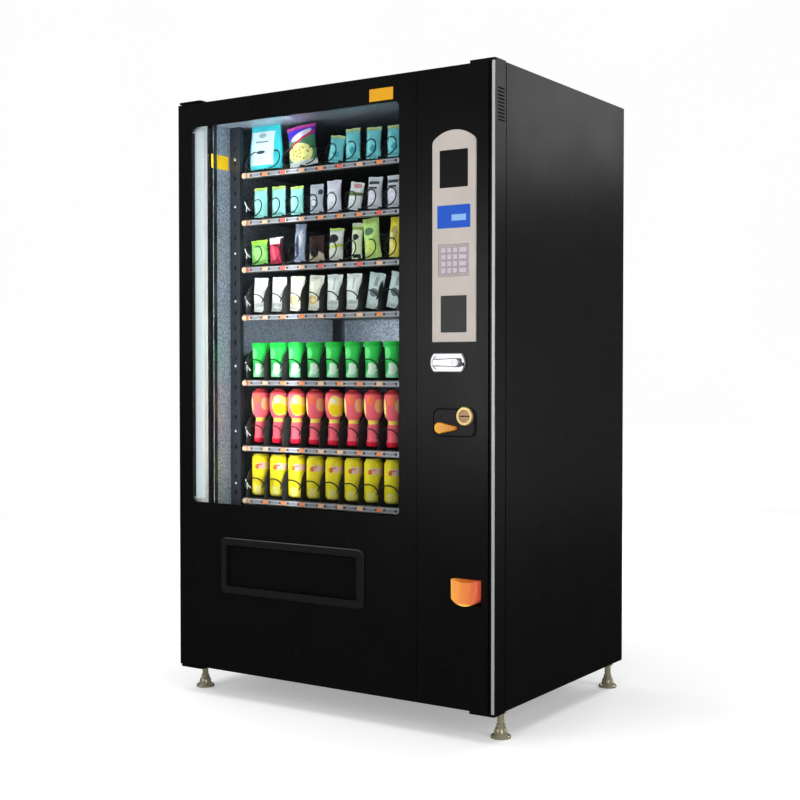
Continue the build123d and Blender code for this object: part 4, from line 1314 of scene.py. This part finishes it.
# ------------------------------------------------------------------ trays
@dataclass
class Trays:
    """Tray finishes, price strips with blank tags, latches and clips."""

    nodes: dict[str, bpy.types.Object]
    paints: Paints
    places: Places
    tag_width: float = 21 * MM
    label_width: float = 36 * MM
    square_width: float = 9 * MM

    def dress(self) -> None:
        """Bright price rail, black dividers and pan."""
        edge = self.places.tray_front + 6.4 * MM
        for number in range(1, TRAYS + 1):
            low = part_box(f"tray_{number}")[0]
            top = low.z + self.places.rail_height + 0.5 * MM
            dress(
                self.nodes[f"tray_{number}"],
                self.paints["divider_plastic"],
                (lambda c, n, t=top: c.y < edge and c.z < t, self.paints["rail_silver"]),
            )
        for number in range(1, LANES + 1):
            dress(self.nodes[f"coil_{number}"], self.paints["wire_coat"])

    def strip(self, number: int, shelf: float) -> None:
        """Insert of one price rail: a coloured tag and a grey label between dark ends per lane."""
        places, sheet = self.places, Sheet()
        low, high = shelf - 17.5 * MM, shelf - 3.5 * MM
        y = places.tray_front
        sheet.slab(
            (places.tray_left + 3 * MM, y - 0.9 * MM, low),
            (places.tray_right - 3 * MM, y + 0.6 * MM, high),
            0.3 * MM,
            0,
        )
        for lane in range(LANES):
            start = places.lanes[lane] - places.pitch / 2 - 2 * MM
            pick = (number * 3 + lane * 5 + (lane * number) // 3) % 4
            tag = (1, 2, 2, 1)[pick] if number > 3 else (1, 3, 1, 2)[pick]
            label = start + self.tag_width + self.square_width + 3 * MM
            stops = (
                (start, start + self.tag_width, tag, 1.5),
                (label - self.square_width, label, 5, 1.1),
                (label, label + self.label_width, 4, 1.4),
                (label + self.label_width, label + self.label_width + self.square_width, 5, 1.1),
            )
            for x0, x1, mark, proud in stops:
                trim = 0.4 * MM if mark < 4 else 2.6 * MM
                near, far = (x0, y - proud * MM, low + trim), (x1, y + 0.3 * MM, high - trim)
                sheet.slab(near, far, 0.2 * MM, mark)
        lean = 2 * MM / places.rail_height
        sheet.bend(lambda p: Vector((p.x, p.y + (p.z - shelf + places.rail_height) * lean, p.z)))
        names = (
            "rail_insert", "tag_orange", "tag_peach", "tag_red", "tag_grey", "dark_plastic"
        )
        finishes = [self.paints[name] for name in names]
        sheet.piece(f"price_strip_{number}", "cabinet", "tray_steel", *finishes)

    def latch(self, number: int, shelf: float) -> None:
        """Cream latch lever at the left end of the rail."""
        places, sheet = self.places, Sheet()
        x, y = places.tray_left, places.tray_front

        def at(u: float, v: float) -> Point:
            """Point of the latch's rounded body."""
            turn = 2 * math.pi * u
            wide = (11 - 3 * v) * MM
            tall = (7.5 + 1.5 * math.sin(math.pi * v)) * MM
            grow = math.sin(math.pi * min(1.0, 0.08 + v * 0.92)) ** 0.35
            out, rise = (
                math.copysign(abs(share) ** 0.6, share)
                for share in (math.cos(turn), math.sin(turn))
            )
            return (
                x + 11 * MM + wide * out * grow,
                y - 1 * MM - 7 * MM * (1 - v),
                shelf - 11 * MM + tall * rise * grow,
            )

        columns, rows = 28, 10
        sheet.grid(columns, rows, at, wrap=True)
        sheet.lids(0, columns, rows)
        sheet.piece(f"tray_latch_{number}", "cabinet", "tray_steel", self.paints["latch_cream"])

    def clip(self, number: int, shelf: float) -> None:
        """White forked clip that stands at the left of a tray."""
        places, sheet = self.places, Sheet()
        x, y, z = places.tray_left + 2 * MM, places.tray_front + 8 * MM, shelf
        root = Vector((x + 10 * MM, y, z + 44 * MM))
        for tip, thick in (((0, 60), 2.3), ((22, 31), 1.9), ((7, 28), 2.2)):
            end = Vector((x + tip[0] * MM, y + 2 * MM, z + tip[1] * MM))
            bow = (root + end) / 2 + Vector((0, -2 * MM, 1.5 * MM))
            path = [
                root * (1 - t) ** 2 + bow * 2 * t * (1 - t) + end * t**2
                for t in (i / 8 for i in range(9))
            ]
            sheet.tube(path, thick * MM, 8)
        sheet.piece(f"tray_clip_{number}", "cabinet", "tray_steel", self.paints["clip_white"])

    def build(self) -> None:
        """Dress every tray and add its small pieces."""
        self.dress()
        for number, shelf in enumerate(self.places.shelves, start=1):
            self.strip(number, shelf)
            self.latch(number, shelf)
            if number > 1:
                self.clip(number, shelf)


# ------------------------------------------------------------------ spirals
@dataclass
class Spirals:
    """Wires of the lower trays' spirals, wound like the top tray's."""

    paints: Paints
    places: Places
    turns: int = 9
    steps: int = 20
    low_start: tuple[int, ...] = (2, 3)

    def path(self, lane: int, shelf: float, start: float) -> list[Vector]:
        """Centre line of one wire, from its front end to the coupler.

        Args:
            lane: Lane from the left, from 1.
            shelf: Height of the tray's rail.
            start: Where the front end stands: 0 at the left, -90 at the bottom.

        Returns:
            Points of the wire's centre line.
        """
        places = self.places
        x, z = places.lanes[lane - 1], shelf + places.coil_rise
        hand = -1 if start else 1
        path = []
        for i in range(self.turns * self.steps + 1):
            turn = 2 * math.pi * i / self.steps + math.radians(start)
            y = places.coil_front + places.wire_length * i / (self.turns * self.steps)
            across = x - hand * places.coil_radius * math.cos(turn)
            path.append(Vector((across, y, z + places.coil_radius * math.sin(turn))))
        return path

    def build(self) -> None:
        """Make the wires of each lower tray as one piece."""
        for number, shelf in enumerate(self.places.shelves[1:], start=2):
            sheet = Sheet()
            start = -90.0 if number in self.low_start else 0.0
            for lane in range(1, LANES + 1):
                sheet.tube(self.path(lane, shelf, start), self.places.wire_radius)
            sheet.piece(f"spirals_{number}", "cabinet", "spring_wire", self.paints["wire_coat"])
            log.info("spirals of tray %d", number)


# ------------------------------------------------------------------ packs
class Form(Enum):
    """How a pack is made."""

    PILLOW = "film bag with a crimp at both ends"
    GUSSET = "standing bag with a flat base and a wide crimped top"
    CUP = "tapered cup with a rim"
    BOTTLE = "bottle with a waist"
    CAN = "drinks can"


@dataclass(frozen=True)
class Pack:
    """One lane's pack: form, size in millimetres, wrapper and how it stands."""

    lane: float
    form: Form
    size: tuple[float, float, float]
    wrapper: Wrapper
    lean: float = 0.0
    shift: float = 0.0
    flare: float = 0.06


LATHED: dict[Form, tuple[tuple[float, float], ...]] = {
    Form.CAN: (
        (0.78, 0.0), (0.84, 0.012), (0.97, 0.06), (1.0, 0.085), (1.0, 0.5), (1.0, 0.88),
        (0.97, 0.925), (0.84, 0.965), (0.83, 0.985), (0.86, 1.0), (0.80, 0.99), (0.78, 0.97),
        (0.05, 0.972),
    ),
    Form.CUP: (
        (0.80, 0.0), (0.85, 0.02), (0.86, 0.2), (0.89, 0.5), (0.92, 0.8), (0.93, 0.86),
        (1.0, 0.875), (1.01, 0.90), (1.0, 0.96), (0.99, 0.985), (0.93, 1.0), (0.86, 0.985),
        (0.05, 0.985),
    ),
    Form.BOTTLE: (
        (0.62, 0.0), (0.72, 0.012), (0.76, 0.04), (0.75, 0.09), (0.66, 0.13), (0.64, 0.22),
        (0.66, 0.32), (0.60, 0.39), (0.55, 0.43), (0.62, 0.47), (0.82, 0.52), (0.95, 0.60),
        (1.0, 0.70), (1.0, 0.82), (0.96, 0.90), (0.84, 0.95), (0.62, 0.965), (0.52, 0.97),
        (0.56, 0.972), (0.56, 0.992), (0.50, 1.0), (0.04, 1.0),
    ),
}


class PackMaker:
    """Makes packs' meshes around their own origin, at the middle of their base."""

    columns = 44
    rows = 34
    steps = 40  # round a cup, bottle or can
    crimp = 0.07
    fold = 1.8 * MM
    dent, fine_dent = 3.4 * MM, 1.3 * MM
    wander = 2.2 * MM

    def __init__(self, pack: Pack) -> None:
        """Keep the pack and its sizes in metres."""
        self.pack = pack
        self.width, self.height, self.depth = (v * MM for v in pack.size)

    def swell(self, v: float) -> float:
        """Share of the full thickness at a share of the height."""
        c = self.crimp
        if self.pack.form is Form.GUSSET:
            top = 1 - c * 0.6
            return max(0.02, min(1.0, 1.25 * (1 - v / top)) ** 0.55) if v < top else 0.02
        w = (v - c * 0.7) / (1 - 1.4 * c)
        return max(0.03, math.sin(math.pi * min(1.0, max(0.0, w))) ** 0.55)

    def film(self) -> Callable[[float, float], Point]:
        """Surface of a film bag, with folds that run out of its crimps."""
        seed = self.pack.lane * 3.7 + self.width * 100

        def at(u: float, v: float) -> Point:
            """Point of the bag."""
            turn = 2 * math.pi * u
            across = math.cos(turn)
            side = math.copysign(1.0, math.sin(turn)) if abs(math.sin(turn)) > 1e-6 else 0.0
            full = self.swell(v)
            flare = 1 - self.pack.flare * full + 0.02 * math.sin(9 * v + seed)
            blunt = 0.42 if self.pack.form is Form.GUSSET else 0.62
            thick = (1 - across * across) ** blunt
            y = side * self.depth / 2 * full * thick
            folds = math.sin(across * 11 + seed) * math.exp(-((min(v, 1 - v) - 0.1) / 0.09) ** 2)
            spot = Vector((across * 2.1 + seed, side * 3.0, v * self.height * 38))
            dent = noise.noise(spot) * self.dent + noise.noise(spot * 2.7) * self.fine_dent
            y += side * thick * (folds * self.fold + dent * full)
            x = across * self.width / 2 * flare
            rise = noise.noise(Vector((across * 1.4 + seed, 7.1, 0))) * self.wander * v
            return (x, y, v * self.height + rise)

        return at

    def build(self) -> Sheet:
        """Gather the pack's faces."""
        sheet = Sheet()
        if self.pack.form in LATHED:
            profile = [(r * self.width / 2, h * self.height) for r, h in LATHED[self.pack.form]]
            sheet.lathe((0.0, 0.0, 0.0), profile, self.steps)
        else:
            sheet.grid(self.columns, self.rows, self.film(), wrap=True, flip=True)
            sheet.lids(0, self.columns, self.rows)
        return sheet


class Packs:
    """Everything on sale, tray by tray."""

    def __init__(self, paints: Paints, places: Places) -> None:
        """Keep the finishes and the frame's places."""
        self.paints = paints
        self.places = places
        self.turn_pitch = places.wire_length / Spirals.turns

    @staticmethod
    def snack_trays() -> dict[int, tuple[Pack, ...]]:
        """What stands in each lane of the four upper trays: film bags and bars."""
        white, cream = (232, 238, 240), (246, 240, 222)
        lime, aqua = (196, 226, 120), (116, 208, 214)
        ink, grey = (60, 74, 84), (140, 150, 158)

        teal_bag = Wrapper(
            "wrap_teal", (54, 196, 208),
            (
                panel(0.46, 0.42, 0.36, 0.34, (214, 232, 238)),
                oval(0.46, 0.68, 0.12, 0.05, (150, 178, 188)),
                panel(0.46, 0.55, 0.2, 0.012, (90, 116, 132)),
                oval(0.44, 0.34, 0.14, 0.035, (40, 62, 84)),
                panel(0.48, 0.22, 0.1, 0.008, (150, 170, 180)),
            ),
            crease=0.6,
        )
        popcorn = Wrapper(
            "wrap_popcorn", (70, 130, 92),
            (
                oval(0.48, 0.30, 0.42, 0.25, (240, 236, 150)),
                Print(Shape.GRAINS, (0.46, 0.30), (0.34, 0.17), (176, 160, 50)),
                band(0.03, 0.09, (206, 214, 214)),
                band(0.80, 0.13, (76, 44, 208), 0.10),
                oval(0.55, 0.74, 0.34, 0.09, (236, 228, 240), 0.3),
                band(0.60, 0.035, (196, 40, 92), 0.42),
                band(0.95, 0.045, (212, 66, 168)),
            ),
            crease=0.6,
        )
        aqua_bar = Wrapper(
            "wrap_aqua", aqua,
            (
                band(0.94, 0.05, (206, 222, 150)),
                panel(0.3, 0.5, 0.05, 0.3, (160, 226, 226)),
                oval(0.62, 0.30, 0.2, 0.12, (60, 160, 182)),
            ),
        )
        mint_bar = Wrapper(
            "wrap_mint", (140, 214, 206),
            (
                band(0.95, 0.06, lime),
                panel(0.36, 0.45, 0.1, 0.3, (176, 230, 226)),
            ),
        )
        swirl = Wrapper(
            "wrap_swirl", (196, 204, 216),
            (
                oval(0.45, 0.32, 0.3, 0.16, (132, 146, 160)),
                oval(0.42, 0.34, 0.2, 0.1, white),
                oval(0.85, 0.72, 0.12, 0.1, ink),
            ),
        )
        lilac = Wrapper(
            "wrap_lilac", (218, 216, 232),
            (panel(0.5, 0.5, 0.25, 0.22, (236, 236, 244)),
             panel(0.5, 0.6, 0.18, 0.015, grey)),
        )
        olive = Wrapper(
            "wrap_olive", (220, 222, 224),
            (
                band(0.56, 0.06, (110, 122, 70), 0.05),
                oval(0.6, 0.86, 0.3, 0.09, (216, 150, 156)),
            ),
        )
        printed = Wrapper(
            "wrap_printed", (206, 208, 214),
            (
                panel(0.5, 0.80, 0.36, 0.05, ink),
                panel(0.45, 0.64, 0.3, 0.035, (70, 78, 88)),
                oval(0.5, 0.3, 0.3, 0.14, (226, 222, 236)),
            ),
        )
        lime_pouch = Wrapper(
            "wrap_lime", (126, 200, 96),
            (band(0.9, 0.09, (170, 226, 80)),
             oval(0.6, 0.42, 0.34, 0.3, (160, 220, 130))),
        )
        red_pouch = Wrapper(
            "wrap_red", (206, 40, 76),
            (band(0.9, 0.17, (236, 228, 230)),
             oval(0.42, 0.35, 0.12, 0.35, (240, 96, 120)),
             panel(0.97, 0.45, 0.14, 0.5, (54, 22, 34))),
        )
        silver = Wrapper(
            "wrap_silver", (176, 186, 214),
            (oval(0.4, 0.42, 0.16, 0.3, (90, 98, 128)),
             oval(0.7, 0.62, 0.15, 0.25, (228, 232, 244))),
            metal=0.6, crease=0.9,
        )
        cocoa = Wrapper(
            "wrap_cocoa", (60, 36, 34),
            (oval(0.5, 0.0, 0.62, 0.42, (200, 184, 162)),
             oval(0.45, 0.38, 0.3, 0.24, (28, 22, 24))),
        )
        band_white = Wrapper(
            "wrap_band", (214, 214, 206),
            (oval(0.42, 0.66, 0.34, 0.14, (40, 42, 48)),
             band(0.42, 0.05, (190, 206, 90), 0.1),
             band(0.96, 0.05, lime)),
        )
        slim = Wrapper(
            "wrap_slim", (214, 222, 186),
            (oval(0.5, 0.6, 0.3, 0.09, (46, 48, 52)),
             panel(0.5, 0.08, 0.4, 0.05, (46, 48, 52)),
             band(0.84, 0.04, (150, 176, 70))),
        )
        lime_bag = Wrapper(
            "wrap_leaf", (184, 216, 124),
            (oval(0.45, 0.66, 0.3, 0.1, (92, 128, 96)),
             oval(0.5, 0.25, 0.34, 0.18, (206, 226, 110))),
        )
        yellow_bar = Wrapper(
            "wrap_yellow", (228, 208, 60),
            (oval(0.5, 0.6, 0.26, 0.18, (176, 160, 96)),
             panel(0.3, 0.3, 0.14, 0.3, (236, 226, 150))),
        )
        cream_bag = Wrapper(
            "wrap_cream", (236, 240, 236),
            (panel(0.6, 0.72, 0.05, 0.16, (196, 202, 200)),
             oval(0.5, 0.2, 0.3, 0.06, (190, 200, 194))),
            crease=0.4,
        )
        orange_bag = Wrapper(
            "wrap_citrus", cream,
            (oval(0.42, 0.30, 0.32, 0.13, (238, 196, 132)),
             oval(0.42, 0.28, 0.16, 0.06, (248, 226, 180))),
            crease=0.4,
        )
        folded = Wrapper(
            "wrap_folded", (200, 214, 212),
            (oval(0.55, 0.45, 0.24, 0.12, (110, 122, 128)),
             panel(0.6, 0.75, 0.1, 0.12, (150, 160, 162))),
            crease=0.8,
        )
        pillow, gusset = Form.PILLOW, Form.GUSSET
        return {
            1: (
                Pack(1.5, gusset, (116, 164, 46), teal_bag, 0, -12, -0.16),
                Pack(3.5, pillow, (116, 132, 40), popcorn, -5, -8),
                Pack(5, pillow, (58, 86, 32), aqua_bar, 9, 4),
                Pack(6, pillow, (58, 102, 32), aqua_bar, 0, -2),
                Pack(7, pillow, (56, 98, 32), aqua_bar, 2, 0),
                Pack(8, pillow, (54, 97, 32), aqua_bar, 0, 4),
            ),
            2: (
                Pack(1, pillow, (56, 98, 32), mint_bar, 0, 2),
                Pack(2, pillow, (56, 98, 32), mint_bar, 0, 2),
                Pack(3, pillow, (54, 92, 32), mint_bar, 0, 2),
                Pack(4, pillow, (54, 92, 32), swirl, 1, 6),
                Pack(5, pillow, (56, 100, 32), lilac, 0, 0),
                Pack(6, pillow, (54, 88, 32), olive, 10, 2),
                Pack(7, pillow, (54, 98, 32), printed, 3, 4),
                Pack(8, pillow, (54, 98, 32), printed, 0, 4),
            ),
            3: (
                Pack(1, pillow, (70, 80, 34), lime_pouch, -2, -2),
                Pack(2, pillow, (58, 86, 32), red_pouch, -3, -4),
                Pack(3, pillow, (46, 124, 26), silver, 3, 12),
                Pack(4, pillow, (62, 82, 32), cocoa, 0, 6),
                Pack(5, pillow, (56, 102, 34), band_white, 3, 6),
                Pack(6, pillow, (40, 114, 30), slim, 2, 12),
                Pack(7, pillow, (62, 126, 32), lime_bag, -5, 0),
                Pack(8, pillow, (50, 124, 32), yellow_bar, 4, 6),
            ),
            4: tuple(
                Pack(lane, pillow, (60, 114, 34), wrap, lean, 0)
                for lane, wrap, lean in (
                    (1, cream_bag, 2), (2, cream_bag, 3), (3, orange_bag, 3), (4, orange_bag, 4),
                    (5, cream_bag, 2), (6, cream_bag, 2), (7, folded, 9), (8, folded, 12),
                )
            ),
        }

    @staticmethod
    def drink_trays() -> dict[int, tuple[Pack, ...]]:
        """What stands in each lane of the three lower trays: cups, bottles and cans."""
        green_cup = Wrapper(
            "wrap_green", (44, 206, 84),
            (
                band(0.0, 0.12, (150, 226, 176)),
                oval(0.62, 0.24, 0.26, 0.17, (214, 240, 214)),
                oval(0.36, 0.30, 0.12, 0.14, (60, 168, 96)),
                oval(0.36, 0.68, 0.24, 0.16, (110, 232, 130)),
                band(0.93, 0.055, (30, 190, 66)),
            ),
            crease=0.03,
        )
        foot_and_waist = (
            band(0.0, 0.09, (196, 14, 46)),
            band(0.43, 0.034, (244, 206, 90)),
        )
        red_top = band(0.99, 0.07, (196, 58, 62))
        bottle = Wrapper(
            "wrap_bottle", (226, 92, 106),
            foot_and_waist
            + (
                oval(0.20, 0.68, 0.15, 0.17, (250, 226, 130)),
                oval(0.62, 0.82, 0.2, 0.09, (244, 112, 72)),
                oval(0.95, 0.72, 0.12, 0.12, (240, 176, 120)),
                red_top,
            ),
            low=0.08, high=0.2, metal=0.0, crease=0.04,
        )
        big_label = Wrapper(
            "wrap_bottle_label", (224, 88, 104),
            foot_and_waist
            + (
                oval(0.78, 0.70, 0.34, 0.19, (248, 216, 110)),
                oval(0.76, 0.64, 0.28, 0.10, (248, 206, 24)),
                oval(0.72, 0.79, 0.11, 0.05, (232, 226, 214)),
                panel(0.36, 0.75, 0.07, 0.12, (238, 124, 124)),
                red_top,
            ),
            low=0.08, high=0.2, metal=0.0, crease=0.04,
        )
        can = Wrapper(
            "wrap_can", (240, 218, 28),
            (
                oval(0.82, 0.72, 0.26, 0.085, (242, 196, 186)),
                oval(0.60, 0.70, 0.12, 0.06, (214, 110, 34)),
                panel(0.76, 0.75, 0.1, 0.012, (206, 70, 60)),
                panel(0.62, 0.14, 0.2, 0.1, (244, 232, 130)),
                band(0.0, 0.03, (190, 180, 60)),
                band(0.99, 0.03, (220, 200, 60)),
            ),
            metal=0.3, crease=0.03,
        )
        lanes = range(1, LANES + 1)
        return {
            5: tuple(Pack(lane, Form.CUP, (60, 114, 60), green_cup) for lane in lanes),
            6: tuple(
                Pack(lane, Form.BOTTLE, (62, 180, 58), big_label if lane in (2, 3, 5) else bottle)
                for lane in lanes
            ),
            7: tuple(Pack(lane, Form.CAN, (60, 138, 60), can) for lane in lanes),
        }

    def build(self) -> None:
        """Make and place every pack."""
        places = self.places
        for number, packs in {**self.snack_trays(), **self.drink_trays()}.items():
            shelf = places.shelves[number - 1]
            for pack in packs:
                x = places.lanes[0] + (pack.lane - 1) * places.pitch + pack.shift * MM
                y = places.coil_front + 0.75 * self.turn_pitch
                name = f"pack_{number}_{pack.lane:g}".replace(".", "_")
                PackMaker(pack).build().piece(
                    name, "cabinet", "tray_steel", self.paints.wrapper(pack.wrapper),
                    at=(x, y, shelf + 9 * MM), lean=math.radians(pack.lean),
                )
            log.info("packs of tray %d", number)


def main() -> None:
    """Load the frame, then build the studio and each sub-assembly."""
    logging.basicConfig(level=logging.INFO, format="%(message)s")
    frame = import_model()
    nodes = frame["nodes"]
    places, paints, studio = Places(), Paints(), Studio()
    studio.build()
    log.info("studio")
    for part in (
        Cabinet(nodes, paints, places),
        Door(nodes, paints, places, studio),
        PaymentColumn(nodes, paints),
        Hatch(nodes, paints),
        Trays(nodes, paints, places),
        Spirals(paints, places),
        Packs(paints, places),
    ):
        part.build()
        log.info("%s", type(part).__name__)


if __name__ == "__main__":
    main()
